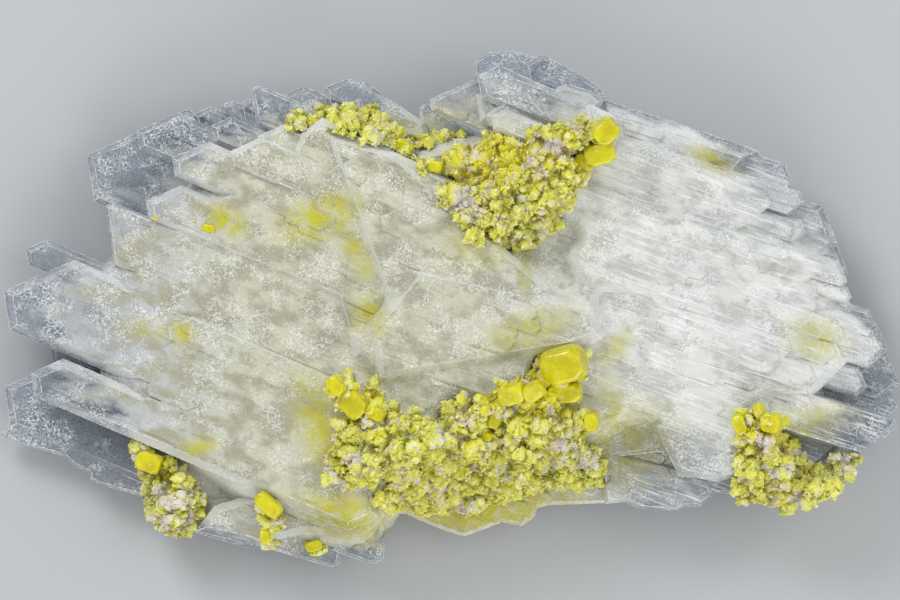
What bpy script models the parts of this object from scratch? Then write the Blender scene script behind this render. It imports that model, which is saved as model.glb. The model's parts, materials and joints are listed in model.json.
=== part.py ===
"""A hand specimen of gypsum: flat, clear selenite blades grown together, with crusts of native sulphur on them.

The specimen lies on the cleavage face of its lowest blade. +X runs along the specimen and +Z points away from
the surface that it lies on. The origin is the middle of the base. Lengths in the tables are millimetres.
"""

import math

import bmesh
import bpy
import numpy as np
from mathutils import Euler, Matrix, Vector
from mathutils.bvhtree import BVHTree
from mathutils.geometry import delaunay_2d_cdt

LENGTH = 180.0  # overall, along X
DRAWN_LENGTH = 180.0  # the length for which the tables are drawn; the specimen scales with LENGTH
MM = 0.001 * LENGTH / DRAWN_LENGTH  # metres for each unit of the tables
SKY = 100.0  # a height above everything, from which the gypsum's surface is found

BEVEL_SHARE = 0.36  # of a blade's thickness that its rim facets take in from each side
BEVEL_LIMIT = 0.32  # of the outline's shortest edge, the most that the rim facets take in

CLEARANCE = 0.32  # between the gypsum and a crust that sits on it
GROUND_REACH = 2.4  # a crust follows the gypsum's surface as averaged within this distance
ROOT = 2.6  # how deep a crust's root reaches below that surface, before it is cut to fit the blades
FLANK_SHARE = 0.10  # how far a crust's flank leans in above and below, in spacings of the dome's corners
ROUND_OFF = 2.2  # the width over which a crust rises from its rim to its full height, in the same spacings
ROUGHNESS = 0.30  # how far the dome's corners stray up and down, in the same spacings
RIM_LUMPS = 2.9  # spacing of the lumps along a crust's rim, in radii of its largest lump

CRYSTAL_CUT = 0.52  # how wide a sulphur crystal's end faces are beside its waist
CRYSTAL_LEAN = (0.25, -0.20)  # how the larger crystals lean about X and about Y, in radians
LUMP_LEAN = 0.7  # the most that a small lump leans about X or Y, in radians

# Directions of a blade's three pairs of parallel edges: upper tip edge, blunt side, long side. Degrees from +X.
LEFT_HABIT = (24.0, -81.0, -23.0)
RIGHT_HABIT = (42.0, -67.0, -17.0)

# Each blade of parallel growth: tip corner X, Y; length of its tip edge, blunt side and long side; height of the
# top face at that corner; thickness; rise of the face for each millimetre towards the middle of the specimen.
LEFT_BLADES = {
    "upper_far": (-72.6, 30.7, 15.0, 9.4, 52.0, 10.0, 3.2, 0.02),
    "upper_frosted": (-62.6, 35.5, 9.0, 3.6, 46.0, 13.0, 3.0, 0.05),
    "upper_streaked": (-57.4, 37.7, 5.2, 4.6, 42.0, 11.0, 3.0, 0.04),
    "upper_notched": (-51.3, 38.8, 3.8, 4.0, 26.0, 12.4, 2.4, 0.05),
    "upper_small_a": (-47.6, 36.5, 4.2, 3.4, 34.0, 15.5, 2.6, 0.06),
    "upper_small_b": (-45.8, 40.6, 2.4, 5.2, 30.0, 11.5, 2.6, 0.05),
    "upper_small_c": (-42.2, 41.0, 2.4, 5.0, 30.0, 13.5, 2.4, 0.04),
    "upper_spike": (-39.6, 43.8, 1.7, 7.0, 30.0, 16.5, 2.6, 0.05),
    "crest_low": (-33.0, 42.8, 4.0, 5.0, 26.0, 10.5, 2.6, 0.05),
    "crest_mid": (-30.8, 40.4, 3.6, 5.0, 22.0, 15.5, 2.6, 0.05),
    "step_low": (-60.6, 21.5, 7.6, 4.0, 64.0, 18.0, 5.0, 0.10),
    "step_mid": (-55.4, 30.0, 8.0, 3.6, 58.0, 18.5, 4.5, 0.11),
    "step_high": (-44.2, 31.2, 7.8, 3.2, 46.0, 21.0, 4.5, 0.09),
    "step_top": (-38.4, 34.4, 6.2, 3.4, 40.0, 20.0, 4.5, 0.12),
    "left_blunt": (-69.0, 20.5, 2.0, 12.0, 68.0, 15.0, 5.0, 0.11),
    "left_bridge": (-66.0, 9.4, 5.0, 6.0, 60.0, 13.0, 4.0, 0.12),
    "left_clear": (-84.9, 11.9, 4.6, 3.0, 52.0, 8.5, 2.6, 0.03),
    "left_great": (-89.2, 3.4, 15.4, 7.8, 80.0, 13.5, 4.5, 0.13),
    "left_second": (-83.7, -12.9, 7.0, 4.8, 68.0, 16.0, 5.0, 0.10),
    "left_dark": (-89.2, -15.7, 11.0, 8.2, 58.0, 8.0, 3.4, 0.04),
    "left_under": (-80.0, -8.0, 20.0, 12.0, 60.0, 5.6, 3.0, 0.01),
    "left_rib": (-57.0, -3.6, 6.0, 3.0, 46.0, 19.5, 4.0, 0.09),
    "left_second_rib": (-52.0, -21.4, 6.4, 3.4, 36.0, 19.6, 4.0, 0.06),
    "step_rib": (-34.0, 18.4, 6.6, 4.0, 40.0, 21.5, 4.0, 0.08),
    "middle_rib": (-20.0, -5.0, 6.0, 5.0, 30.0, 24.6, 4.0, 0.02),
    "under_far": (-66.0, 16.0, 12.0, 9.0, 60.0, 5.2, 3.0, 0.01),
    "under_near": (-58.0, -14.0, 14.0, 10.0, 44.0, 4.2, 3.4, 0.0),
    "fan_left": (-4.0, 41.7, 10.6, 2.3, 26.0, 18.0, 2.8, 0.05),
    "fan_front": (5.6, 46.4, 4.6, 4.6, 25.0, 24.0, 3.2, 0.01),
    "fan_step": (5.2, 42.6, 3.0, 5.4, 20.0, 21.0, 2.8, 0.03),
    "fan_small": (8.2, 38.4, 3.2, 2.8, 15.0, 26.0, 2.6, 0.01),
}
RIGHT_BLADES = {
    "right_top": (66.8, 29.0, 2.4, 4.8, 42.0, 13.5, 4.0, 0.08),
    "right_top_back": (47.2, 36.0, 3.0, 2.4, 20.0, 11.0, 2.6, 0.05),
    "right_bright": (69.8, 23.4, 4.6, 2.4, 62.0, 18.0, 5.0, 0.09),
    "right_third": (74.4, 20.4, 6.0, 8.0, 56.0, 15.0, 4.0, 0.10),
    "right_chip": (78.0, 17.3, 1.6, 1.8, 16.0, 10.0, 2.4, 0.04),
    "right_fourth": (77.2, 12.9, 4.0, 6.4, 50.0, 11.5, 3.4, 0.06),
    "right_ridge": (77.6, 9.4, 2.2, 4.4, 66.0, 19.0, 4.5, 0.09),
    "right_ridge_low": (79.4, 4.3, 2.0, 2.2, 64.0, 18.0, 4.5, 0.08),
    "right_fifth": (83.8, -0.2, 4.0, 3.4, 58.0, 14.0, 4.0, 0.14),
    "right_keen": (85.1, -2.8, 5.4, 5.9, 60.0, 16.5, 4.0, 0.13),
    "right_dark": (87.5, -9.2, 6.0, 6.4, 46.0, 9.0, 3.0, 0.03),
    "right_pale": (81.6, -11.6, 3.0, 4.4, 44.0, 14.5, 3.4, 0.09),
    "right_grey": (88.4, -17.0, 4.6, 3.0, 40.0, 8.0, 2.8, 0.03),
    "right_low": (88.2, -21.7, 9.0, 1.6, 62.0, 15.5, 4.5, 0.10),
    "right_under": (88.8, -22.0, 5.0, 1.8, 40.0, 6.5, 2.6, 0.02),
    "right_seam": (70.2, 17.6, 4.0, 2.6, 44.0, 18.0, 4.0, 0.09),
    "right_seam_low": (72.6, 9.4, 3.4, 2.4, 40.0, 19.4, 4.0, 0.09),
    "right_shelf": (60.0, -20.6, 6.0, 3.0, 30.0, 19.5, 4.0, 0.05),
    "right_under_far": (72.0, 20.0, 14.0, 9.0, 60.0, 6.2, 3.4, 0.02),
    "right_under_near": (76.0, -2.0, 16.0, 12.0, 60.0, 4.6, 3.2, 0.0),
    "right_foot": (78.0, -22.0, 16.0, 5.0, 56.0, 12.0, 4.5, 0.06),
}

# Plates that are no regular growth: outline corners, height of the top face at the first corner, thickness,
# slope of the face along X and along Y.
PLATES = {
    "heart_left": (
        ((-64, 9), (-62, -12), (-52, -29), (-20, -40), (4, -36), (10, 6), (-2, 31), (-28, 35), (-52, 26)),
        15.0, 10.0, 0.0, 0.0,
    ),
    "heart_right": (
        ((-4, 30), (-8, -34), (30, -34), (58, -31), (74, -24), (76, -6), (68, 12), (58, 24), (34, 34), (10, 34)),
        16.0, 11.5, 0.0, 0.0,
    ),
    "heart_middle": (
        ((-36, 6), (-30, -20), (-8, -30), (26, -28), (48, -16), (52, 6), (40, 20), (8, 24), (-20, 22)),
        20.0, 7.0, 0.0, 0.0,
    ),
    "base": (
        ((-58, 10), (-54, -8), (-30, -26), (18, -31), (52, -24), (60, -4), (44, 18), (4, 27), (-36, 24)),
        5.0, 5.0, 0.0, 0.0,
    ),
    "centre_left": (
        ((-31.2, 31.5), (-29.6, 34.9), (-25.4, 38.1), (-22.0, 36.4), (4.0, 24.0), (8.0, 4.0), (-20.0, -8.0)),
        23.0, 5.0, 0.08, 0.05,
    ),
    "centre_top": (
        ((-24.2, 34.9), (-23.6, 31.5), (-11.6, -1.1), (-4.0, -16.0), (14.0, -20.0), (20.0, 4.0), (-11.0, 30.8)),
        25.4, 4.0, 0.05, 0.02,
    ),
    "centre_shield": (
        ((-16.0, -4.0), (-14.0, -14.0), (24.8, -7.7), (30.0, -5.1), (28.5, 0.3), (20.6, 2.4), (-6.0, 8.0)),
        27.5, 3.4, 0.01, 0.0,
    ),
    "centre_wedge": (
        ((4.0, -24.0), (30.0, -12.7), (37.0, -13.0), (39.6, -7.0), (34.0, -4.0), (16.0, 2.0), (-4.0, -8.0)),
        20.5, 3.4, 0.02, 0.0,
    ),
    "right_front": (
        ((39.8, 3.3), (39.6, -5.9), (36.4, -13.2), (54.4, -18.3), (72.0, -18.0), (80.0, -10.0), (77.0, -1.0),
         (58.0, 8.0)),
        23.4, 5.0, -0.15, 0.0,
    ),
    "right_window": (
        ((45.2, -19.3), (41.1, -23.3), (45.6, -33.3), (53.8, -34.5), (66.0, -30.0), (63.0, -17.0)),
        21.0, 3.4, -0.05, 0.06,
    ),
    "right_lower": (
        ((30.0, -30.0), (31.0, -39.1), (35.0, -38.7), (37.6, -40.0), (44.8, -40.7), (46.8, -39.8), (50.0, -39.6),
         (53.0, -37.0), (58.0, -37.2), (66.0, -34.0), (62.0, -24.0), (40.0, -22.0)),
        15.5, 5.0, 0.0, 0.10,
    ),
    "back_sheet": (
        ((-12.6, -40.8), (-8.8, -41.1), (-4.8, -42.9), (-1.0, -44.4), (2.8, -45.6), (7.0, -44.1), (10.4, -42.7),
         (14.4, -43.5), (16.8, -41.7), (17.4, -39.9), (20.4, -39.3), (31.2, -38.9), (40.0, -24.0), (-14.0, -24.0)),
        9.0, 2.8, 0.0, 0.05,
    ),
    "left_ragged": (
        ((-90.0, -25.9), (-88.6, -23.4), (-76.0, -18.0), (-46.0, -24.0), (-44.0, -44.0), (-62.0, -37.5),
         (-70.6, -35.0), (-72.0, -34.2), (-72.2, -32.9), (-75.2, -31.4), (-77.2, -29.6)),
        6.8, 2.8, 0.02, 0.0,
    ),
    "foot_front": (
        ((-50.8, -44.5), (-47.2, -39.6), (-30.0, -34.0), (-12.8, -34.0), (-12.8, -41.2), (-18.0, -45.2),
         (-30.0, -45.0), (-38.4, -47.4)),
        14.0, 4.0, 0.03, 0.16,
    ),
    "foot_left": (
        ((-50.8, -44.9), (-50.0, -38.0), (-34.0, -36.0), (-36.0, -44.0), (-39.4, -48.2)),
        9.6, 2.6, 0.02, 0.10,
    ),
    "foot_middle": (
        ((-38.4, -47.5), (-36.0, -38.0), (-20.0, -38.0), (-21.8, -47.8), (-22.4, -51.4), (-24.0, -51.7)),
        8.4, 2.6, 0.02, 0.08,
    ),
    "foot_right": (
        ((-23.6, -48.3), (-24.0, -36.0), (-12.6, -36.0), (-12.6, -41.1), (-13.8, -45.7), (-13.2, -47.6),
         (-13.4, -50.0), (-14.8, -50.9), (-16.4, -50.9)),
        10.6, 2.8, 0.02, 0.08,
    ),
    "fan_ragged": (
        ((4.8, 46.0), (4.8, 48.3), (5.4, 49.7), (7.8, 51.1), (9.6, 51.2), (12.0, 51.7), (14.6, 51.0),
         (20.0, 49.0), (27.0, 38.0), (12.0, 36.0)),
        14.0, 3.0, 0.0, -0.03,
    ),
    "fan_back": (
        ((15.4, 45.4), (14.8, 48.7), (18.4, 50.8), (26.4, 46.4), (29.6, 44.4), (31.0, 42.3), (28.0, 36.0),
         (17.0, 36.0)),
        17.5, 3.0, 0.02, 0.0,
    ),
    "fan_right": (
        ((20.0, 36.0), (20.4, 43.4), (23.0, 44.8), (28.0, 43.4), (30.6, 41.4), (28.0, 38.0), (24.0, 34.0)),
        20.6, 3.4, -0.04, 0.0,
    ),
    "crest_high": (
        ((-24.9, 44.2), (-20.5, 45.9), (-16.4, 45.0), (-12.3, 41.9), (-5.0, 37.2), (-4.0, 34.0), (-10.0, 29.0),
         (-25.0, 36.0)),
        12.5, 3.0, 0.02, 0.0,
    ),
    "crest_gap": (
        ((-6.0, 40.2), (-4.6, 41.0), (-1.8, 39.3), (2.4, 36.3), (6.0, 34.9), (4.0, 30.0), (-6.0, 31.7)),
        11.0, 2.6, 0.0, 0.0,
    ),
    "right_corner": (
        ((60.0, -18.0), (86.0, -19.4), (84.6, -25.6), (82.0, -29.6), (78.0, -32.0), (60.0, -36.0)),
        10.5, 3.6, 0.0, 0.0,
    ),
    "neck": (
        ((-8.0, 32.0), (12.0, 36.0), (30.0, 38.0), (34.0, 30.0), (10.0, 22.0), (-8.0, 24.0)),
        20.0, 13.0, 0.0, 0.0,
    ),
    "right_shoulder": (
        ((31.0, 41.6), (22.0, 30.0), (30.0, 24.0), (56.0, 24.0), (62.0, 31.4), (48.0, 36.2)),
        17.0, 6.0, -0.08, -0.10,
    ),
}

# Sulphur crusts. Outline on the specimen, seen from above; how far the middle and the rim stand over the gypsum
# beneath; spacing of the dome's corners; size and number of the lumps; seed of their places; and the larger
# crystals, each a place X, Y, half length, half width and turn in degrees.
CRUSTS = {
    "sulphur_crust_bottom": {
        "outline": (
            (-25.0, -12.9), (-20.0, -12.5), (-15.0, -15.5), (-8.0, -20.5), (-4.0, -19.5), (4.0, -17.6),
            (11.0, -15.2), (19.0, -9.0), (27.0, -8.2), (26.4, -17.0), (28.4, -26.0), (32.0, -33.0),
            (30.4, -36.0), (20.0, -35.8), (8.0, -39.6), (-2.0, -41.4), (-12.6, -40.4), (-22.0, -35.6),
            (-26.2, -30.0), (-23.0, -26.0), (-21.0, -21.0), (-22.6, -16.0),
        ),
        "crown": 8.5, "rim": 1.6, "grid": 5.0, "lump": (2.0, 3.4), "lumps": 8, "seed": 5,
        "crystals": (
            (23.2, -12.8, 4.4, 3.6, 20.0), (15.2, -16.4, 3.4, 2.6, -15.0),
            (-21.4, -16.2, 3.6, 2.8, 40.0), (-16.4, -20.8, 3.0, 2.4, 10.0),
            (6.0, -20.0, 2.8, 2.2, 60.0), (28.6, -24.0, 2.4, 2.0, 30.0),
        ),
    },
    "sulphur_crust_top": {
        "outline": (
            (-33.0, 39.8), (-23.0, 40.4), (-17.0, 40.6), (-12.6, 38.4), (-9.0, 34.4), (-2.2, 35.4),
            (6.0, 34.6), (16.0, 35.6), (28.0, 37.2), (33.2, 36.4), (32.0, 31.0), (27.0, 28.6), (25.4, 22.0),
            (17.6, 12.2), (10.0, 12.2), (3.0, 14.4), (-1.2, 20.0), (-1.8, 25.4), (-14.0, 31.0),
            (-24.0, 34.8), (-31.8, 35.4),
        ),
        "crown": 9.0, "rim": 1.6, "grid": 5.0, "lump": (1.9, 3.1), "lumps": 7, "seed": 11,
        "crystals": (
            (30.4, 34.8, 3.2, 2.4, 25.0), (29.0, 30.6, 2.8, 2.2, -20.0),
            (25.6, 35.0, 2.4, 2.0, 50.0), (10.0, 24.0, 2.6, 2.2, 10.0),
        ),
    },
    "sulphur_crust_right": {
        "outline": (
            (57.2, -21.4), (59.6, -20.8), (62.0, -19.4), (65.6, -21.0), (68.0, -26.0), (71.6, -30.4),
            (76.0, -30.6), (79.4, -28.8), (82.8, -27.2), (82.6, -30.0), (80.0, -31.6), (80.6, -33.4),
            (77.6, -35.6), (73.0, -39.2), (65.0, -40.0), (57.4, -37.4), (55.8, -34.0), (57.4, -30.0),
        ),
        "crown": 8.0, "rim": 1.6, "grid": 4.6, "lump": (1.8, 2.9), "lumps": 6, "seed": 23,
        "crystals": (
            (59.2, -23.0, 2.2, 1.8, 30.0), (63.2, -22.4, 2.4, 2.0, -10.0),
            (67.0, -30.0, 2.2, 1.8, 45.0),
        ),
    },
    "sulphur_crust_left": {
        "outline": (
            (-64.6, -25.2), (-61.6, -25.6), (-58.6, -29.6), (-53.4, -31.8), (-50.6, -34.6), (-48.6, -39.4),
            (-51.0, -43.8), (-54.8, -46.2), (-58.4, -44.2), (-61.8, -38.0), (-61.8, -33.0),
        ),
        "crown": 7.5, "rim": 1.6, "grid": 4.2, "lump": (1.7, 2.7), "lumps": 4, "seed": 37,
        "crystals": ((-60.4, -31.0, 2.8, 2.0, -20.0), (-54.6, -41.6, 2.4, 2.0, 15.0)),
    },
    "sulphur_sprig": {
        "outline": (
            (-39.0, -36.8), (-37.4, -36.2), (-34.8, -38.4), (-33.4, -41.4), (-33.8, -47.0), (-36.0, -48.3),
            (-38.2, -46.4), (-37.6, -41.6),
        ),
        "crown": 4.0, "rim": 1.4, "grid": 3.0, "lump": (1.3, 1.9), "lumps": 1, "seed": 47,
        "crystals": ((-36.4, -39.2, 2.4, 1.6, -35.0), (-35.8, -45.2, 2.0, 1.6, 20.0)),
    },
    "sulphur_bead": {
        "outline": ((-28.8, -46.8), (-26.8, -46.6), (-25.0, -47.2), (-25.2, -48.8), (-27.4, -48.9)),
        "crown": 2.4, "rim": 1.0, "grid": 1.8, "lump": (0.9, 1.3), "lumps": 2, "seed": 43,
        "crystals": (),
    },
}

GYPSUM_COLOUR = (0.80, 0.81, 0.78, 1.0)
SULPHUR_COLOUR = (0.72, 0.66, 0.06, 1.0)


def clear_scene():
    """Remove whatever objects the open file holds."""
    for obj in list(bpy.data.objects):
        bpy.data.objects.remove(obj, do_unlink=True)


def make_material(name, colour, roughness, transmission):
    """A Principled material in one colour."""
    material = bpy.data.materials.new(name)
    material.use_nodes = True
    shader = material.node_tree.nodes["Principled BSDF"]
    shader.inputs["Base Color"].default_value = colour
    shader.inputs["Roughness"].default_value = roughness
    shader.inputs["Transmission Weight"].default_value = transmission
    material.diffuse_color = colour
    return material


def unit(degrees):
    """The unit vector that points this many degrees round from +X."""
    return np.array((math.cos(math.radians(degrees)), math.sin(math.radians(degrees))))


def hexagon(start, first, second, third):
    """The outline of a blade, whose three pairs of parallel edges follow one another round from the start."""
    start = np.array(start)
    return np.array((
        start,
        start + first,
        start + first + second,
        start + first + second + third,
        start + second + third,
        start + third,
    ))


def signed_area(outline):
    """The area inside the outline, positive when its corners run counterclockwise."""
    following = np.roll(outline, -1, axis=0)
    return 0.5 * np.sum(outline[:, 0] * following[:, 1] - outline[:, 1] * following[:, 0])


def offset_outline(outline, distance):
    """The outline with each edge moved outwards by distance, or inwards where distance is negative."""
    edges = np.roll(outline, -1, axis=0) - outline
    edges /= np.linalg.norm(edges, axis=1)[:, None]
    normals = np.column_stack((edges[:, 1], -edges[:, 0]))
    before = np.roll(normals, 1, axis=0)
    spread = 1.0 + np.sum(normals * before, axis=1)
    return outline + distance * (normals + before) / spread[:, None]


def shortest_edge(outline):
    """The length of the outline's shortest edge."""
    return np.linalg.norm(np.roll(outline, -1, axis=0) - outline, axis=1).min()


def add_blade(name, outline, height, thickness, slope, grow, collection):
    """A flat blade with parallel faces, whose rim is a wedge of two facets.

    height is that of the top face over the outline's anchor, the first corner given; slope is the face's rise
    along X and along Y. Where grow isn't zero the blade is the plain prism that holds it with grow to spare.
    """
    outline = np.array(outline, dtype=float)
    anchor = outline[0].copy()
    if signed_area(outline) < 0.0:
        outline = outline[::-1]
    inset = min(BEVEL_SHARE * thickness, BEVEL_LIMIT * shortest_edge(outline))
    middle = offset_outline(outline, grow)
    rings = [(middle, -thickness - grow), (middle, grow)]
    if grow == 0.0:
        inner = offset_outline(outline, -inset)
        rings = [(inner, -thickness), (middle, -0.5 * thickness), (inner, 0.0)]
    count = len(outline)
    corners = []
    for ring, level in rings:
        for x, y in ring:
            z = height + level + slope[0] * (x - anchor[0]) + slope[1] * (y - anchor[1])
            corners.append((x * MM, y * MM, z * MM))
    mesh = bpy.data.meshes.new(name)
    mesh.from_pydata(corners, [], stacked_faces(count, len(rings)))
    return add_object(name, mesh, collection)


def stacked_faces(count, rings):
    """The faces that join stacked rings of count corners each into a closed body."""
    faces = [tuple(reversed(range(count))), tuple(range((rings - 1) * count, rings * count))]
    for low in range(0, (rings - 1) * count, count):
        for i in range(count):
            j = (i + 1) % count
            faces.append((low + i, low + j, low + count + j, low + count + i))
    return faces


def add_object(name, mesh, collection):
    """Put a mesh into the scene as an object of this name."""
    obj = bpy.data.objects.new(name, mesh)
    collection.objects.link(obj)
    return obj


def hide_guide(obj):
    """Mark an object as a guide that other shapes are cut with."""
    obj.hide_render = True
    obj.display_type = "WIRE"


def add_blades(prefix, grow):
    """Every blade and plate of the gypsum, in a collection of guides of their own."""
    guides = bpy.data.collections.new(prefix)
    bpy.context.scene.collection.children.link(guides)
    tip_way, side_way, long_way = (unit(angle) for angle in LEFT_HABIT)
    for name, (x, y, tip, side, length, height, thickness, rise) in LEFT_BLADES.items():
        outline = hexagon((x, y), side * side_way, length * long_way, tip * tip_way)
        add_blade(prefix + name, outline, height, thickness, rise * long_way, grow, guides)
    tip_way, side_way, long_way = (unit(angle) for angle in RIGHT_HABIT)
    for name, (x, y, tip, side, length, height, thickness, rise) in RIGHT_BLADES.items():
        outline = hexagon((x, y), side * side_way, -tip * tip_way, -length * long_way)
        add_blade(prefix + name, outline, height, thickness, -rise * long_way, grow, guides)
    for name, (outline, height, thickness, slope_x, slope_y) in PLATES.items():
        add_blade(prefix + name, outline, height, thickness, (slope_x, slope_y), grow, guides)
    for guide in guides.objects:
        hide_guide(guide)
    return guides


def add_boolean(obj, collection, operation):
    """Join or cut obj with every guide of a collection."""
    boolean = obj.modifiers.new(operation.lower(), "BOOLEAN")
    boolean.operation = operation
    boolean.operand_type = "COLLECTION"
    boolean.collection = collection
    boolean.solver = "EXACT"
    boolean.use_self = False


def settle(obj):
    """Replace an object's mesh by what its modifiers make of it."""
    bpy.context.view_layer.update()
    evaluated = obj.evaluated_get(bpy.context.evaluated_depsgraph_get())
    mesh = bpy.data.meshes.new_from_object(evaluated)
    obj.modifiers.clear()
    obj.data = mesh


def keep_largest_body(obj):
    """Delete every loose body of a mesh but the one that takes the most room."""
    bm = bmesh.new()
    bm.from_mesh(obj.data)
    waiting = set(bm.verts)
    bodies = []
    while waiting:
        body = [waiting.pop()]
        for vert in body:
            found = {edge.other_vert(vert) for edge in vert.link_edges} & waiting
            waiting -= found
            body.extend(found)
        bodies.append(body)
    bodies.sort(key=body_volume, reverse=True)
    for body in bodies[1:]:
        bmesh.ops.delete(bm, geom=body, context="VERTS")
    bm.to_mesh(obj.data)
    bm.free()


def body_volume(verts):
    """The room inside a closed body, from the tetrahedra that its faces make with the origin."""
    faces = {face for vert in verts for face in vert.link_faces}
    total = 0.0
    for face in faces:
        corners = [vert.co for vert in face.verts]
        for second, third in zip(corners[1:], corners[2:]):
            total += corners[0].dot(second.cross(third)) / 6.0
    return total


def tidy_mesh(obj, flat_degrees):
    """Join faces that lie in one plane, then cut the mesh into triangles."""
    bm = bmesh.new()
    bm.from_mesh(obj.data)
    bmesh.ops.dissolve_limit(
        bm, angle_limit=math.radians(flat_degrees), verts=bm.verts, edges=bm.edges, use_dissolve_boundaries=False
    )
    bmesh.ops.triangulate(bm, faces=bm.faces)
    bm.to_mesh(obj.data)
    bm.free()


def inside(outline, points):
    """Which of the points lie inside the outline, by counting the edges to the right of each."""
    following = np.roll(outline, -1, axis=0)
    result = np.zeros(len(points), dtype=bool)
    for (ax, ay), (bx, by) in zip(outline, following):
        if ay == by:
            continue
        crosses = (points[:, 1] < max(ay, by)) & (points[:, 1] >= min(ay, by))
        at = ax + (points[:, 1] - ay) * (bx - ax) / (by - ay)
        result ^= crosses & (at > points[:, 0])
    return result


def edge_distance(outline, points):
    """The distance from each point to the nearest edge of the outline."""
    best = np.full(len(points), 1e9)
    for start, end in zip(outline, np.roll(outline, -1, axis=0)):
        along = end - start
        share = np.clip(((points - start) @ along) / (along @ along), 0.0, 1.0)
        foot = start + share[:, None] * along
        best = np.minimum(best, np.linalg.norm(points - foot, axis=1))
    return best


def points_along(outline, spacing):
    """Points on the closed outline, about spacing apart."""
    following = np.roll(outline, -1, axis=0)
    lengths = np.linalg.norm(following - outline, axis=1)
    reached = np.concatenate(((0.0,), np.cumsum(lengths)))
    stations = np.linspace(0.0, reached[-1], max(3, round(reached[-1] / spacing)), endpoint=False)
    closed = np.vstack((outline, outline[:1]))
    return np.column_stack([np.interp(stations, reached, closed[:, axis]) for axis in (0, 1)])


def crust_points(outline, spacing, rng):
    """A jittered triangular grid of points inside the outline, clear of its edges."""
    low = outline.min(axis=0)
    high = outline.max(axis=0)
    rows = np.arange(low[1], high[1], spacing * 0.866)
    points = []
    for number, y in enumerate(rows):
        for x in np.arange(low[0] + (number % 2) * 0.5 * spacing, high[0], spacing):
            points.append((x, y))
    points = np.array(points) + rng.uniform(-0.22, 0.22, (len(points), 2)) * spacing
    return points[inside(outline, points) & (edge_distance(outline, points) > 0.45 * spacing)]


def ground_heights(ground, points, reach):
    """The mean height in millimetres of the gypsum within reach of each point, seen from above."""
    ring = [(0.0, 0.0)] + [tuple(reach * unit(45.0 * k)) for k in range(8)]
    heights = []
    for x, y in points:
        found = []
        for dx, dy in ring:
            hit = ground.ray_cast(Vector(((x + dx) * MM, (y + dy) * MM, SKY * MM)), Vector((0.0, 0.0, -1.0)))[0]
            if hit is not None:
                found.append(hit.z / MM)
        heights.append(sum(found) / len(found) if found else math.nan)
    heights = np.array(heights)
    heights[np.isnan(heights)] = np.nanmean(heights)
    return heights


def add_crust_core(name, crust, ground, collection):
    """The body of a crust: a lumpy dome that follows the gypsum, on a root sheet that dips into it.

    Both sheets share one triangulation of the outline, so they can't cross, and a rounded flank joins them.
    """
    rng = np.random.default_rng(crust["seed"])
    outline = np.array(crust["outline"], dtype=float)
    if signed_area(outline) < 0.0:
        outline = outline[::-1]
    points = crust_points(outline, crust["grid"], rng)
    round_off = np.clip(edge_distance(outline, points) / (ROUND_OFF * crust["grid"]), 0.0, 1.0)
    shoulder = offset_outline(outline, -FLANK_SHARE * crust["grid"])
    foot = ground_heights(ground, outline, GROUND_REACH)
    bed = ground_heights(ground, points, GROUND_REACH)
    heights = bed + crust["rim"] + (crust["crown"] - crust["rim"]) * np.sqrt(round_off)
    heights += rng.uniform(-ROUGHNESS, ROUGHNESS, len(points)) * crust["grid"]
    count = len(shoulder)
    plan = np.vstack((shoulder, points))
    loop = [(i, (i + 1) % count) for i in range(count)]
    _, _, triangles, _, _, _ = delaunay_2d_cdt([Vector(point) for point in plan], loop, [], 1, 1e-6)
    dome = np.column_stack((plan, np.concatenate((foot + crust["rim"], heights))))
    root = np.column_stack((plan, np.concatenate((foot, bed)) - ROOT))
    belly = np.column_stack((outline, foot))
    below, middle = len(dome), 2 * len(dome)
    faces = [tuple(face) for face in triangles]
    faces += [tuple(below + i for i in reversed(face)) for face in triangles]
    for i in range(count):
        j = (i + 1) % count
        faces.append((middle + i, middle + j, j, i))
        faces.append((below + i, below + j, middle + j, middle + i))
    mesh = bpy.data.meshes.new(name)
    mesh.from_pydata((np.vstack((dome, root, belly)) * MM).tolist(), [], faces)
    return add_object(name, mesh, collection), outline, points, heights


def add_crystal(name, centre, radii, turn, lean, collection):
    """A truncated double pyramid on four sides, the habit of native sulphur, turned about +Z and then leant over.

    radii are its half lengths along its own three axes. lean is a turn about X and about Y, in radians.
    """
    sides = 4
    corners = []
    for level, spread in ((-1.0, CRYSTAL_CUT), (0.0, 1.0), (1.0, CRYSTAL_CUT)):
        for i in range(sides):
            angle = math.tau * (i + 0.5) / sides
            corners.append((spread * math.cos(angle), spread * math.sin(angle), level))
    posture = Euler((lean[0], lean[1], 0.0)).to_matrix() @ Matrix.Rotation(turn, 3, "Z")
    corners = (np.array(corners) * radii @ np.array(posture).T + centre) * MM
    mesh = bpy.data.meshes.new(name)
    mesh.from_pydata(corners.tolist(), [], stacked_faces(sides, 3))
    return add_object(name, mesh, collection)


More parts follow.
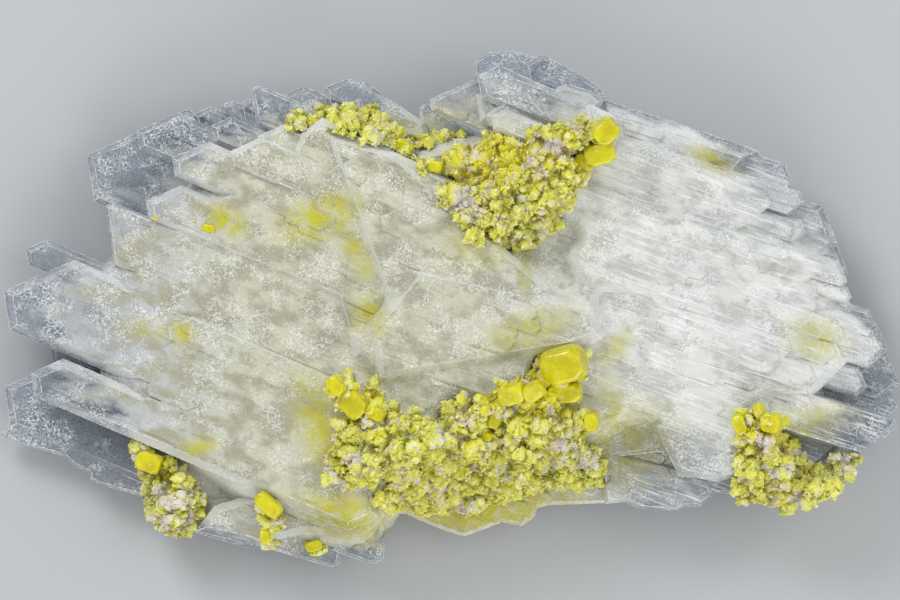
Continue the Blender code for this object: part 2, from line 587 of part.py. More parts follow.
def add_crust(name, material, ground, cutters):
    """A sulphur crust: a lumpy dome with crystals fused to it, seated on the gypsum."""
    crust = CRUSTS[name]
    lumps = bpy.data.collections.new(name + "_lumps")
    bpy.context.scene.collection.children.link(lumps)
    obj, outline, points, heights = add_crust_core(name, crust, ground, bpy.context.scene.collection)
    rng = np.random.default_rng(crust["seed"] + 100)
    chosen = rng.permutation(len(points))[: crust["lumps"]]
    centres = [(*points[index], heights[index] - 0.1 * crust["lump"][0]) for index in chosen]
    rim = points_along(offset_outline(outline, -0.35 * crust["lump"][1]), RIM_LUMPS * crust["lump"][1])
    feet = ground_heights(ground, rim, GROUND_REACH)
    centres += [(x, y, foot + crust["rim"] + rng.uniform(-0.8, 0.8)) for (x, y), foot in zip(rim, feet)]
    for number, centre in enumerate(centres):
        radii = rng.uniform(*crust["lump"]) * rng.uniform(0.8, 1.15, 3)
        lean = rng.uniform(-LUMP_LEAN, LUMP_LEAN, 2)
        add_crystal(f"{name}_lump_{number}", centre, radii, rng.uniform(0.0, math.tau), lean, lumps)
    for number, (x, y, half_length, half_width, turn) in enumerate(crust["crystals"]):
        nearest = np.argmin(np.hypot(points[:, 0] - x, points[:, 1] - y))
        radii = (half_length, half_width, 0.8 * half_width)
        centre = (x, y, heights[nearest] + 0.3 * half_width)
        add_crystal(f"{name}_crystal_{number}", centre, radii, math.radians(turn), CRYSTAL_LEAN, lumps)
    for lump in lumps.objects:
        hide_guide(lump)
    add_boolean(obj, lumps, "UNION")
    add_boolean(obj, cutters, "DIFFERENCE")
    settle(obj)
    keep_largest_body(obj)
    tidy_mesh(obj, flat_degrees=1.0)
    obj.data.materials.clear()
    obj.data.materials.append(material)
    return obj


def add_gypsum(material):
    """The gypsum: every blade joined in one solid, which starts from the heart of the cluster."""
    blades = add_blades("blade_", 0.0)
    heart = bpy.data.objects["blade_heart_left"]
    obj = add_object("gypsum_cluster", heart.data.copy(), bpy.context.scene.collection)
    bpy.data.objects.remove(heart, do_unlink=True)
    add_boolean(obj, blades, "UNION")
    settle(obj)
    keep_largest_body(obj)
    tidy_mesh(obj, flat_degrees=0.05)
    obj.data.materials.clear()
    obj.data.materials.append(material)
    return obj


def main():
    """Build the specimen."""
    clear_scene()
    gypsum = make_material("selenite", GYPSUM_COLOUR, 0.25, 0.5)
    sulphur = make_material("native_sulphur", SULPHUR_COLOUR, 0.55, 0.0)
    cluster = add_gypsum(gypsum)
    ground = BVHTree.FromPolygons(
        [vert.co for vert in cluster.data.vertices], [face.vertices for face in cluster.data.polygons]
    )
    cutters = add_blades("seat_", CLEARANCE)
    for name in CRUSTS:
        add_crust(name, sulphur, ground, cutters)


main()
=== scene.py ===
# %% [markdown]
# # A specimen of gypsum with native sulphur
#
# The real thing is a fan of clear selenite blades that grew together into one mass. Where the mass is
# thick, many small flaws scatter the light and it turns milky; at the rim, where each blade stands alone,
# it stays clear. Sulphur settled on it later, as granular crusts with a few larger, smooth crystals.
#
# This script dresses a plain faceted model of the specimen. It loads that model first, because every piece
# below is grown on the model's own surfaces.

# %% Load the frame
import json
import math
from functools import reduce

import bmesh
import bpy
import numpy as np
from mathutils import Euler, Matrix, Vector
from mathutils.bvhtree import BVHTree

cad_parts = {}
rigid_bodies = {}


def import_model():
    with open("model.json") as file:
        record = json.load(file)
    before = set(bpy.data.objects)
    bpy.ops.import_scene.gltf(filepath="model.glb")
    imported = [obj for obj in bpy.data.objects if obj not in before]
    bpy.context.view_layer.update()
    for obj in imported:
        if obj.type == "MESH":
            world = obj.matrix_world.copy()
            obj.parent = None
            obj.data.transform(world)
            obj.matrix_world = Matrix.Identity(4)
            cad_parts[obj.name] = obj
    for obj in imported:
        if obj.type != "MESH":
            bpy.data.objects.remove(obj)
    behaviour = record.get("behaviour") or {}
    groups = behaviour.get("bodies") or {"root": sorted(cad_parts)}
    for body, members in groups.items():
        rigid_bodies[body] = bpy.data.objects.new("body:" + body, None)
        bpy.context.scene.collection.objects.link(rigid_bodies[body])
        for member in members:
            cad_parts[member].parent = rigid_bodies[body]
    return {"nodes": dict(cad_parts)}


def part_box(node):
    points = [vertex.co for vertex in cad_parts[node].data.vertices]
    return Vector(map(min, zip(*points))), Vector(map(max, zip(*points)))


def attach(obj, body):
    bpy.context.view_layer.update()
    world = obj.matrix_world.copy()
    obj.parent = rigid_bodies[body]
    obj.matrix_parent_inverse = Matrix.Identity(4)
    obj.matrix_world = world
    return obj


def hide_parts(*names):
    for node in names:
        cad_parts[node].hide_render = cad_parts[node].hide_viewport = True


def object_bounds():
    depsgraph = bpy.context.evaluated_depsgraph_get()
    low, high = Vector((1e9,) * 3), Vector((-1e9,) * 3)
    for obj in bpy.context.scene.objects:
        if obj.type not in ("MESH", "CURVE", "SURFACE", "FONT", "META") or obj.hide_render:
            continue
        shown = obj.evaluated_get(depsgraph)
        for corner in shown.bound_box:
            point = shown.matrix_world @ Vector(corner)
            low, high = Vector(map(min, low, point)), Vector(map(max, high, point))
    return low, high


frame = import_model()
cad_low, cad_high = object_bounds()
MM = 0.001
print("the plain model measures", [round((b - a) / MM, 1) for a, b in zip(cad_low, cad_high)], "mm")

# %% [markdown]
# ## The camera
#
# The specimen lies on its back, so the camera hangs straight above it and looks down. A long lens keeps the
# blades at the rim from being seen side-on. The picture is three units wide and two high; the specimen
# fills its width and sits a little below its middle.

# %% Camera
VIEW_WIDTH = 180.0 * MM  # how much the camera sees from side to side, at the blades' height
CAMERA_HEIGHT = 3.0  # in metres
FOCUS_HEIGHT = 12.0 * MM
LOOK_AT = (0.0, 1.7 * MM)

camera_data = bpy.data.cameras.new("camera")
camera_data.sensor_width = 36.0
camera_data.lens = camera_data.sensor_width * (CAMERA_HEIGHT - FOCUS_HEIGHT) / VIEW_WIDTH
camera_data.clip_start, camera_data.clip_end = 0.05, 20.0
camera = bpy.data.objects.new("camera", camera_data)
camera.location = (*LOOK_AT, CAMERA_HEIGHT)
bpy.context.scene.collection.objects.link(camera)
bpy.context.scene.camera = camera
print("lens", round(camera_data.lens), "mm at", CAMERA_HEIGHT, "m")

# %% [markdown]
# ## Small helpers
#
# Colours are written as the hex values that one reads off a screen, and one function turns them into the
# linear values that the renderer works in. Another adds a shader node with its settings and its links in
# one call, which keeps a material's recipe readable.

# %% Helpers for colours, nodes and meshes


def srgb(code):
    """A hex colour as linear red, green, blue and alpha: the sRGB curve taken off each channel."""
    channels = np.array([int(code[i : i + 2], 16) for i in (1, 3, 5)]) / 255.0
    linear = np.where(channels <= 0.04045, channels / 12.92, ((channels + 0.055) / 1.055) ** 2.4)
    return (*linear.tolist(), 1.0)


def mm(*lengths):
    """Lengths given in millimetres, in metres."""
    return tuple(length * MM for length in lengths)


def add(tree, kind, settings=None, *inputs, out=None, **named):
    """Add a shader node and return one of its outputs, the first active one unless out names another.

    settings are the node's properties. The inputs go into its active sockets in order, and the named
    ones by name, each as a value or as a link from another node's output.
    """
    node = tree.nodes.new("ShaderNode" + kind)
    for key, value in (settings or {}).items():
        setattr(node, key, value)
    active = [socket for socket in node.inputs if socket.enabled]
    by_name = [(node.inputs[name.replace("_", " ")], value) for name, value in named.items()]
    for socket, value in [*zip(active, inputs), *by_name]:
        if isinstance(value, bpy.types.NodeSocket):
            tree.links.new(value, socket)
        else:
            socket.default_value = value
    return node.outputs[out] if out else next((socket for socket in node.outputs if socket.enabled), node)


EASE = {"interpolation_type": "SMOOTHSTEP"}  # a range that is entered and left gently
TIMES, PLUS, LESS = ({"operation": name} for name in ("MULTIPLY", "ADD", "SUBTRACT"))
LEAST, MOST, SIZE = ({"operation": name} for name in ("MINIMUM", "MAXIMUM", "ABSOLUTE"))
LENGTH, SCALE_AND_SHIFT = {"operation": "LENGTH"}, {"operation": "MULTIPLY_ADD"}
COLOURS = {"data_type": "RGBA"}
MEASURE = {"vector_type": "TEXTURE"}  # a mapping whose scale is the length that becomes one unit
NOWHERE = (0.0, 0.0, 0.0)


def every(size):
    """The scale at which a noise repeats about every so many millimetres."""
    return 1000.0 / size


def turned_places(tree, place, rows):
    """The place turned back by each turn in the rows, so that its ellipses lie along the axes."""
    return {turn: add(tree, "Mapping", MEASURE, place, NOWHERE, (0.0, 0.0, math.radians(turn)))
            for turn in sorted({row[4] for row in rows})}


def reach(tree, turned, x, y, along, across, turn, start=0.0):
    """How far a place is from the middle of an upright elliptic column, where its rim is 1.

    With the place turned back by the column's turn, that is the length of (place - middle) / half axes.
    The third part of the length is the same everywhere, so the distance is start in the middle.
    """
    c, s = math.cos(math.radians(turn)), math.sin(math.radians(turn))
    shift = ((x * c + y * s) / -along, (y * c - x * s) / -across, start)
    scale = (1.0 / (along * MM), 1.0 / (across * MM), 0.0)
    from_middle = add(tree, "VectorMath", SCALE_AND_SHIFT, turned[turn], scale, shift)
    return add(tree, "VectorMath", LENGTH, from_middle)


def nearest(tree, turned, columns):
    """How far a place is from the nearest of several columns, each given as reach takes it."""
    return reduce(lambda one, other: add(tree, "Math", LEAST, one, other),
                  [reach(tree, turned, *column) for column in columns])


def new_material(name):
    """A node material without any node, and its tree."""
    material = bpy.data.materials.new(name)
    material.use_nodes = True
    material.node_tree.nodes.clear()
    return material, material.node_tree


def mesh_object(name, corners, faces, collection=None):
    """An object at the origin whose mesh has these corners and faces."""
    mesh = bpy.data.meshes.new(name)
    mesh.from_pydata(np.asarray(corners).tolist(), [], faces if isinstance(faces, list) else faces.tolist())
    obj = bpy.data.objects.new(name, mesh)
    (collection or bpy.context.scene.collection).objects.link(obj)
    return obj


def shifted(faces, by):
    """The same faces with every corner's number raised."""
    return [tuple(index + by for index in face) for face in faces]


def merged_copy(node):
    """The corners and triangles of a plain model's node, with the corners that coincide made one."""
    bm = bmesh.new()
    bm.from_mesh(frame["nodes"][node].data)
    bmesh.ops.remove_doubles(bm, verts=bm.verts, dist=1e-7)
    bm.verts.ensure_lookup_table()
    corners = np.array([vert.co for vert in bm.verts])
    triangles = np.array([[vert.index for vert in face.verts] for face in bm.faces])
    bm.free()
    return corners, triangles


# %% [markdown]
# ## Floor and light
#
# A pale matt floor with soft light from large lamps is how minerals are catalogued. The floor is a little
# darker than the milky gypsum, so that the specimen reads as the brightest thing. The key lamp stands at
# the upper left and low enough to rake across the blades, which draws their steps; a broad fill at the
# right keeps the shadows open.

# %% Floor, lamps and sky
FLOOR_HALF = 3.0  # in metres

floor_corners = [(x * FLOOR_HALF, y * FLOOR_HALF, 0.0) for x, y in ((-1, -1), (1, -1), (1, 1), (-1, 1))]
floor = mesh_object("floor", floor_corners, [(0, 1, 2, 3)])
card, tree = new_material("matt_grey_card")  # pressed paper fibres scatter light evenly, without any gloss
add(tree, "OutputMaterial", None, add(tree, "BsdfPrincipled", Base_Color=srgb("#b9bcbf"), Roughness=0.85))
floor.data.materials.append(card)


def add_lamp(name, place, size, power, colour):
    """A square area lamp at place, turned to the specimen."""
    data = bpy.data.lights.new(name, "AREA")
    data.size, data.energy, data.color = size, power, srgb(colour)[:3]
    lamp = bpy.data.objects.new(name, data)
    lamp.location = place
    lamp.rotation_euler = (Vector(NOWHERE) - Vector(place)).to_track_quat("-Z", "Y").to_euler()
    bpy.context.scene.collection.objects.link(lamp)


add_lamp("key", (-0.45, 0.60, 0.60), 0.40, 4.6, "#ffffff")
add_lamp("fill", (0.75, 0.15, 0.70), 0.80, 3.4, "#fafbfd")
add_lamp("front", (0.10, -0.85, 0.45), 0.70, 4.4, "#fffcf6")

world = bpy.data.worlds.new("studio")
world.use_nodes = True
sky = world.node_tree.nodes["Background"].inputs
sky["Color"].default_value, sky["Strength"].default_value = srgb("#eef0f2"), 0.55
bpy.context.scene.world = world
bpy.context.scene.view_settings.view_transform = "Standard"
print("a floor", 2 * FLOOR_HALF, "m wide,", len(bpy.data.lights), "lamps and an even sky")

# %% [markdown]
# ## Where the blades lie
#
# Gypsum blades are flat hexagons whose edges keep the same angles on every blade of a fan: that is what
# makes a fan look like one crystal. The left half of the fan points left and the right half points right,
# so there are two sets of edge directions. A ray dropped on the model tells how high the surface is at any
# place and how it slopes.

# %% Edge directions and the surface from above
LEFT_WAYS = (24.0, -81.0, -23.0)  # tip edge, blunt side and long side of a left-hand blade, in degrees
RIGHT_WAYS = (222.0, -67.0, 163.0)  # the same of a right-hand blade
FAN_MIDDLE = 2.0  # X in millimetres where the two halves meet
SKY = 100.0  # a height above everything, in millimetres

core_corners, core_triangles = merged_copy("gypsum_cluster")
core_tree = BVHTree.FromPolygons((core_corners / MM).tolist(), core_triangles.tolist())
print("gypsum model:", len(core_corners), "corners", len(core_triangles), "triangles")


def drop(tree, places):
    """Where a ray straight down meets the surface at each place: height in millimetres and normal."""
    rows = np.full((len(places), 4), np.nan)
    for row, (x, y) in zip(rows, places):
        hit, normal, _, _ = tree.ray_cast(Vector((x, y, SKY)), Vector((0.0, 0.0, -1.0)))
        if hit is not None:
            row[:] = hit.z, *normal
    return rows


def ways(degrees):
    """The unit vectors that point this many degrees round from +X."""
    angles = np.radians(np.asarray(degrees))
    return np.stack((np.cos(angles), np.sin(angles)), axis=-1)


# %% [markdown]
# ## The milky infill
#
# In the heart of the fan the gaps between the blades are grown shut with small milky crystals, so that only
# the blades' upper edges still show. Two things are needed for it: lumps at any scale, and a sheet that
# bridges gaps. The lumps are worked out for all corners of a mesh at once, and the crusts further down use
# them too.

# %% Lumps at any scale
SCRAMBLE = np.array((73856093, 19349663, 83492791), dtype=np.int64)  # three large odd numbers
SEED_STEP, MIXER = 7919, 1274126177  # and two more


def cell_values(cells, seed):
    """Three random numbers from 0 to 1 for each cell of a grid: its coordinates multiplied and bit-mixed."""
    mixed = (cells * SCRAMBLE).sum(axis=1) + seed * SEED_STEP
    values = []
    for _ in range(3):
        mixed = (mixed ^ (mixed >> 13)) * MIXER & 0xFFFFFFFF
        mixed = mixed ^ (mixed >> 16)
        values.append((mixed & 0xFFFF) / 0xFFFF)
    return np.column_stack(values)


def lumps(points, size, seed):
    """Round lumps of a size, one round a random centre in each grid cell: height, seam and tone.

    The height is one less the squared distance to the nearest centre, from 0 to 1. The seam is how much
    further off the second nearest centre is, which falls to nothing where two lumps meet. The tone is a
    random number of the lump's own.
    """
    scaled = points / size
    home = np.floor(scaled).astype(np.int64)
    first, second = np.full((2, len(points)), 9.0)
    tone = np.zeros(len(points))
    for step in np.ndindex(3, 3, 3):
        cell = home + np.array(step) - 1
        values = cell_values(cell, seed)
        squared = np.sum((cell + values - scaled) ** 2, axis=1)
        closer = squared < first
        second = np.where(closer, first, np.minimum(second, squared))
        first, tone = np.where(closer, squared, first), np.where(closer, values[:, 0], tone)
    return np.clip(1.0 - first, 0.0, 1.0), np.sqrt(second) - np.sqrt(first), tone


def piled(points, scales, seed):
    """Lumps of several sizes on top of each other, each scale given as a size and a height."""
    return sum(amount * lumps(points, size, seed + number)[0] for number, (size, amount) in enumerate(scales))


# %% [markdown]
# The sheet is a square net drawn on to an ellipse. Its height is the model's, after a closing: the highest
# value within a few millimetres is taken everywhere, and then the lowest value of that. Gaps narrower than
# the reach are filled, and everything else stays as it was. The sheet gets a floor a little under the
# blades' surface, which makes it a closed body that the union can weld on.

# %% The infill's sheet
INFILL_MIDDLE = (4.0, -1.0)
INFILL_HALF = (76.0, 35.0)
INFILL_NET = (230, 112)  # cells along X and Y
INFILL_REACH = 5  # cells, the reach of the closing
INFILL_SOFTENING = 2  # cells, over which the closed sheet is averaged
INFILL_DEPTH = 1.6  # how far its floor lies under the surface, in millimetres
INFILL_BULGE = (15.0, 8.0, 22.0)  # how far it is drawn down, setting in between these distances to the left
RAMP_REACH = 7  # cells, over which the steps at the lower left become ramps
RAMP_LEFT, RAMP_DOWN = (4.0, 20.0), (2.0, 14.0)  # how far left and how far down they set in


def smoothstep(value, low, high):
    """0 below low, 1 above high, and 3 t t - 2 t t t between."""
    share = np.clip((value - low) / (high - low), 0.0, 1.0)
    return share * share * (3.0 - 2.0 * share)


def ellipse_net(columns, rows):
    """A square net drawn on a disc: x = u root(1 - v v / 2), y = v root(1 - u u / 2), stretched to an
    ellipse that bulges further down at the lower left. The second result is the distance from the middle.
    """
    u, v = np.meshgrid(np.linspace(-1.0, 1.0, columns + 1), np.linspace(-1.0, 1.0, rows + 1))
    disc = np.stack((u * np.sqrt(1.0 - 0.5 * v**2), v * np.sqrt(1.0 - 0.5 * u**2)), axis=-1)
    more, start, full = INFILL_BULGE
    plan = disc * INFILL_HALF
    plan[:, :, 1] += np.minimum(disc[:, :, 1], 0.0) * more * smoothstep(-plan[:, :, 0], start, full)
    return plan + INFILL_MIDDLE, np.linalg.norm(disc, axis=-1)


def spread(grid, reach, pick):
    """The highest, the lowest or the sum of the values within reach, by shifting the whole grid about."""
    padded = np.pad(grid, reach, mode="edge")
    rows, columns = grid.shape
    result = grid.copy()
    for down in range(-reach, reach + 1):
        for along in range(-reach, reach + 1):
            if down * down + along * along <= reach * reach:
                result = pick(result, padded[reach + down:, reach + along:][:rows, :columns])
    return result


def closed_sheet(plan, upper, lower):
    """A closed body between two heights over one net: both sheets and the wall that joins their borders."""
    rows, columns = upper.shape
    number = np.arange(rows * columns).reshape(rows, columns)
    quads = np.stack((number[:-1, :-1], number[:-1, 1:], number[1:, 1:], number[1:, :-1]), axis=-1)
    quads = quads.reshape(-1, 4)
    border = np.concatenate((number[0, :-1], number[:-1, -1], number[-1, :0:-1], number[:0:-1, 0]))
    following = np.roll(border, -1)
    below = rows * columns
    wall = np.column_stack((border + below, following + below, following, border))
    corners = np.vstack([np.dstack((plan, sheet)).reshape(-1, 3) for sheet in (upper, lower)])
    return corners, np.vstack((quads, quads[:, ::-1] + below, wall))


plan, radius = ellipse_net(*INFILL_NET)
model_height = drop(core_tree, plan.reshape(-1, 2))[:, 0].reshape(radius.shape)
model_height = np.where(np.isnan(model_height), np.nanmin(model_height), model_height)
closing = spread(spread(model_height, INFILL_REACH, np.maximum), INFILL_REACH, np.minimum)
ones = np.ones_like(closing)
smooth_fill, ramps = (spread(closing, cells, np.add) / spread(ones, cells, np.add)
                      for cells in (INFILL_SOFTENING, RAMP_REACH))
lower_left = smoothstep(-plan[:, :, 0], *RAMP_LEFT) * smoothstep(-plan[:, :, 1], *RAMP_DOWN)
smooth_fill += lower_left * np.maximum(ramps - smooth_fill, 0.0)
print("infill raises the surface by", round(float((closing - model_height).max()), 1), "mm at most")

# %% [markdown]
# The infill isn't smooth. On the left it is sugary, with rounded lumps and pits two or three millimetres
# across. On the right the crystals in it lie side by side and make ridges along the blades. The ridges are
# the same lumps, worked out in coordinates that are turned and squeezed along the blades.

# %% The infill's relief
SUGAR, SUGAR_SINK = ((3.2, 0.30), (1.6, 0.18)), 0.25  # lumps' sizes and heights, and how deep they sit
RIDGES, RIDGE_SINK = ((2.6, 0.80), (1.4, 0.40)), 0.60  # the same of the ridges
RIDGE_RUN = 7.0  # how many times longer than wide a ridge is
RIDGE_ZONE = (2.0, 30.0)  # X over which sugar gives way to ridges
BLADE_TURN = math.radians(-20.0)  # the mean run of the blades
INFILL_RIM, RIM_SINK = 0.88, 3.5  # from which radius the rim dips under the blades, and how far


def relief_over(points):
    """How far the infill stands proud at each point: sugar on the left, ridges on the right."""
    sugar = piled(points, SUGAR, 1) - SUGAR_SINK
    c, s = math.cos(BLADE_TURN), math.sin(BLADE_TURN)
    along = (points[:, 0] * c + points[:, 1] * s) / RIDGE_RUN
    across = points[:, 1] * c - points[:, 0] * s
    turned = np.column_stack((along, across, points[:, 2]))
    ridges = piled(turned, RIDGES, 3) - RIDGE_SINK
    right = smoothstep(points[:, 0], *RIDGE_ZONE)
    return sugar * (1.0 - right) + ridges * right


net_points = np.dstack((plan, smooth_fill)).reshape(-1, 3)
rim = RIM_SINK * smoothstep(radius, INFILL_RIM, 1.0)
upper = smooth_fill + relief_over(net_points).reshape(radius.shape) - rim
lower = np.minimum(upper, model_height) - INFILL_DEPTH
infill_corners, infill_faces = closed_sheet(plan, upper, lower)
print("infill:", len(infill_faces), "faces")

# %% [markdown]
# ## Growth layers
#
# A blade of selenite grows by spreading thin layers over its face, and each layer stops at an edge parallel
# to the blade's own. Those low steps are what makes the real face glitter. The plain model has the blades
# but not the layers, so hundreds of thin hexagonal layers are laid on it here. Each is a small closed
# prism, tilted a little more than the face that it lies on, so that its tip stands proud and its tail sinks
# in. One Boolean union then welds them to the blades, which keeps the crystal a single closed body that
# light can pass through.

# %% The shape of a layer


def layer_outlines(middles, lengths, turns):
    """Hexagons round their middles, with opposite edges parallel.

    lengths and turns are those of the tip edge, the blunt side and the long side. With every direction taken
    between 0 and 180 degrees and in rising order, the three edges and then the same three back make a convex
    outline that runs against the clock, whichever way the blade points.
    """
    angles = turns % 180.0
    order = np.argsort(angles, axis=1)
    lengths, angles = (np.take_along_axis(values, order, axis=1) for values in (lengths, angles))
    steps = lengths[:, :, None] * ways(angles)
    a, b, c = steps[:, 0], steps[:, 1], steps[:, 2]
    corners = np.stack((np.zeros_like(a), a, a + b, a + b + c, b + c, c), axis=1)
    return middles[:, None] + corners - 0.5 * (a + b + c)[:, None]


def shrunk(outlines, distance):
    """Each outline with its edges moved inwards: every corner slides along the bisector of its two edges."""
    edges = np.roll(outlines, -1, axis=1) - outlines
    edges /= np.linalg.norm(edges, axis=2)[:, :, None]
    area = np.sum(np.cross(outlines, np.roll(outlines, -1, axis=1)), axis=1)
    normals = np.stack((-edges[:, :, 1], edges[:, :, 0]), axis=2) * np.sign(area)[:, None, None]
    before = np.roll(normals, 1, axis=1)
    share = 1.0 + np.sum(normals * before, axis=2)
    return outlines + distance[:, None, None] * (normals + before) / share[:, :, None]


def prisms(middles, outlines, planes, levels, bevel):
    """Closed prisms on sloping planes, with a narrow bevel round their top faces.

    planes holds the height at the middle and the slopes along X and Y; levels holds bottom and top.
    """
    inner = shrunk(outlines, bevel)
    rings = []
    for ring, level in ((outlines, levels[:, 0]), (outlines, levels[:, 1] - bevel), (inner, levels[:, 1])):
        away = ring - middles[:, None]
        z = planes[:, 0, None] + np.sum(away * planes[:, None, 1:], axis=2) + level[:, None]
        rings.append(np.dstack((ring, z)))
    return np.concatenate(rings, axis=1)


def bands(sides, rings):
    """The quads between stacked rings of corners."""
    return [(low + i, low + (i + 1) % sides, low + sides + (i + 1) % sides, low + sides + i)
            for low in range(0, (rings - 1) * sides, sides) for i in range(sides)]


def prism_faces(sides, rings):
    """The faces that close stacked rings of corners: a floor, a lid and the bands between."""
    last = (rings - 1) * sides
    return [tuple(reversed(range(sides))), tuple(range(last, last + sides)), *bands(sides, rings)]


layer_faces = prism_faces(6, 3)
print("a layer has", len(layer_faces), "faces")

# %% [markdown]
# Where the layers go is left to chance, within what the real fan shows: short broad layers in ragged steps
# on the left, long narrow ones side by side on the right, few and large ones in the middle. A layer is kept
# only if the surface under its whole outline is close to its own plane or above it, so none of them hangs
# in the air.

# %% Place the layers
LAYER_TRIES = 5000
LAYER_SEED = 4
RIGHT_SHARE = 0.6  # how many of the layers tried on the right half are kept at all
LAYER_DEPTH = 1.2  # how far a layer's root reaches below the surface
LAYER_LEVEL = 0.94  # the least upward part of the normal under a layer
LAYER_OVERHANG = 0.5  # how far a layer's corner may stand over the surface
LAYER_BURIAL = 1.0  # how far its two tip corners may lie under it
LAYER_TILT = 0.035  # how much more than the surface a layer may slope
LAYER_FIELD = (86.0, 50.0)  # half length and half width of the field that is tried
SMALL_LAYERS = ((1.2, 1.0, 6.0), (1.0, 0.8, 4.0))  # least edge lengths, on the right and on the left
LARGE_LAYERS = ((4.5, 3.0, 26.0), (6.0, 4.0, 20.0))  # the most
LAYER_STRETCH = (0.6, 1.2)  # how much each edge differs from its layer's size
LAYER_SWING = 1.2  # how much a layer is turned out of the fan, in degrees
LAYER_RISE, RIGHT_RISE = (0.16, 0.55), 1.6  # how far layers stand proud, and how much more at the right
LAYER_BEVEL = (0.4, 0.2)  # its width, at most, beside the layer's rise and its shortest edge
HALVES_MIX = 7.0  # over how many millimetres the two halves mix
FILL_LEAD = 0.05  # how much higher than the blades the infill has to be to count
SEAT_RIM, SEAT_SINK = 0.9, 4.0  # the infill's rim under the layers, and how far it dips


def try_layers(count, rng):
    """Random layers over the fan: middles, edge lengths, directions and how far each is raised."""
    middles = rng.uniform(-np.array(LAYER_FIELD), LAYER_FIELD, (count, 2))
    right = (middles[:, 0] > FAN_MIDDLE + rng.normal(0.0, HALVES_MIX, count))[:, None]
    turns = np.where(right, RIGHT_WAYS, LEFT_WAYS) + rng.normal(0.0, LAYER_SWING, (count, 1))
    size = rng.uniform(0.0, 1.0, (count, 1)) ** 2
    small, large = np.where(right, *SMALL_LAYERS), np.where(right, *LARGE_LAYERS)
    lengths = small + (large - small) * size * rng.uniform(*LAYER_STRETCH, (count, 3))
    raised = rng.uniform(*LAYER_RISE, count) * (0.7 + 0.6 * size[:, 0])  # larger layers are thicker
    raised *= np.where(right[:, 0], RIGHT_RISE, 1.0)
    kept = ~right[:, 0] | (rng.uniform(size=count) < RIGHT_SHARE)
    return middles[kept], lengths[kept], turns[kept], raised[kept]


def ground(places):
    """Height and normal of whichever is higher at each place, the blades or the smooth infill."""
    rows, fill = drop(core_tree, places), drop(fill_tree, places)
    higher = np.nan_to_num(fill[:, 0], nan=-1.0) > np.nan_to_num(rows[:, 0], nan=-1.0) + FILL_LEAD
    rows[higher] = fill[higher]
    return rows


def place_layers(count, rng):
    """The layers that fit the surface: middles, outlines, planes and how far each is raised."""
    middles, lengths, turns, raised = try_layers(count, rng)
    outlines = layer_outlines(middles, lengths, turns)
    seated = ground(middles)
    tilt = rng.uniform(0.0, LAYER_TILT, (len(middles), 1))
    slopes = -seated[:, 1:3] / seated[:, 3:4] - tilt * ways(turns[:, 2])
    planes = np.column_stack((seated[:, 0], slopes))
    away = outlines - middles[:, None]
    under = ground(outlines.reshape(-1, 2))[:, 0].reshape(-1, 6)
    gap = seated[:, 0, None] + np.sum(away * slopes[:, None], axis=2) - under
    from_tip = np.argsort(np.sum(away * ways(turns[:, 2])[:, None], axis=2), axis=1)
    tip_gap = np.take_along_axis(gap, from_tip[:, :2], axis=1)
    fits = (seated[:, 3] > LAYER_LEVEL) & (gap < LAYER_OVERHANG).all(axis=1)
    fits &= (tip_gap > -LAYER_BURIAL).all(axis=1)
    return middles[fits], outlines[fits], planes[fits], raised[fits]


rng = np.random.default_rng(LAYER_SEED)
fill_sheet = closed_sheet(plan, smooth_fill - SEAT_SINK * smoothstep(radius, SEAT_RIM, 1.0), lower - 1.0)
fill_tree = BVHTree.FromPolygons(fill_sheet[0].tolist(), fill_sheet[1].tolist())
middles, outlines, planes, raised = place_layers(LAYER_TRIES, rng)
levels = np.column_stack((np.full(len(raised), -LAYER_DEPTH), raised))
shortest = np.linalg.norm(np.roll(outlines, -1, axis=1) - outlines, axis=2).min(axis=1)
bevel = np.minimum(LAYER_BEVEL[0] * raised, LAYER_BEVEL[1] * shortest)
layer_corners = prisms(middles, outlines, planes, levels, bevel)
print(len(outlines), "of", LAYER_TRIES, "layers fit")

# %% [markdown]
# The union is done by the Boolean modifier's manifold solver, which takes hundreds of operands in a second.
# They live in a collection of their own that is thrown away afterwards.

# %% Weld the layers to the blades


def weld(obj, bodies):
    """Join obj with closed bodies, each given as its corners in millimetres and its faces."""
    parts = bpy.data.collections.new("layers")
    bpy.context.scene.collection.children.link(parts)
    for corners, faces in bodies:
        mesh_object("layer", corners * MM, faces, parts)
    boolean = obj.modifiers.new("weld", "BOOLEAN")
    boolean.operation, boolean.operand_type, boolean.collection = "UNION", "COLLECTION", parts
    boolean.solver = "MANIFOLD"
    settle(obj)
    for part in list(parts.objects):
        bpy.data.meshes.remove(part.data)
    bpy.data.collections.remove(parts)


def settle(obj):
    """Replace an object's mesh by what its modifiers make of it."""
    bpy.context.view_layer.update()
    mesh = bpy.data.meshes.new_from_object(obj.evaluated_get(bpy.context.evaluated_depsgraph_get()))
    mesh.materials.clear()
    obj.modifiers.clear()
    obj.data = mesh


gypsum = mesh_object("gypsum_blades", core_corners, core_triangles)
weld(gypsum, [(infill_corners, infill_faces)] + [(corners, layer_faces) for corners in layer_corners])
gypsum.data.name = "gypsum_blades"
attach(gypsum, "root")
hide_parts("gypsum_cluster")
print("gypsum with layers:", len(gypsum.data.polygons), "faces")
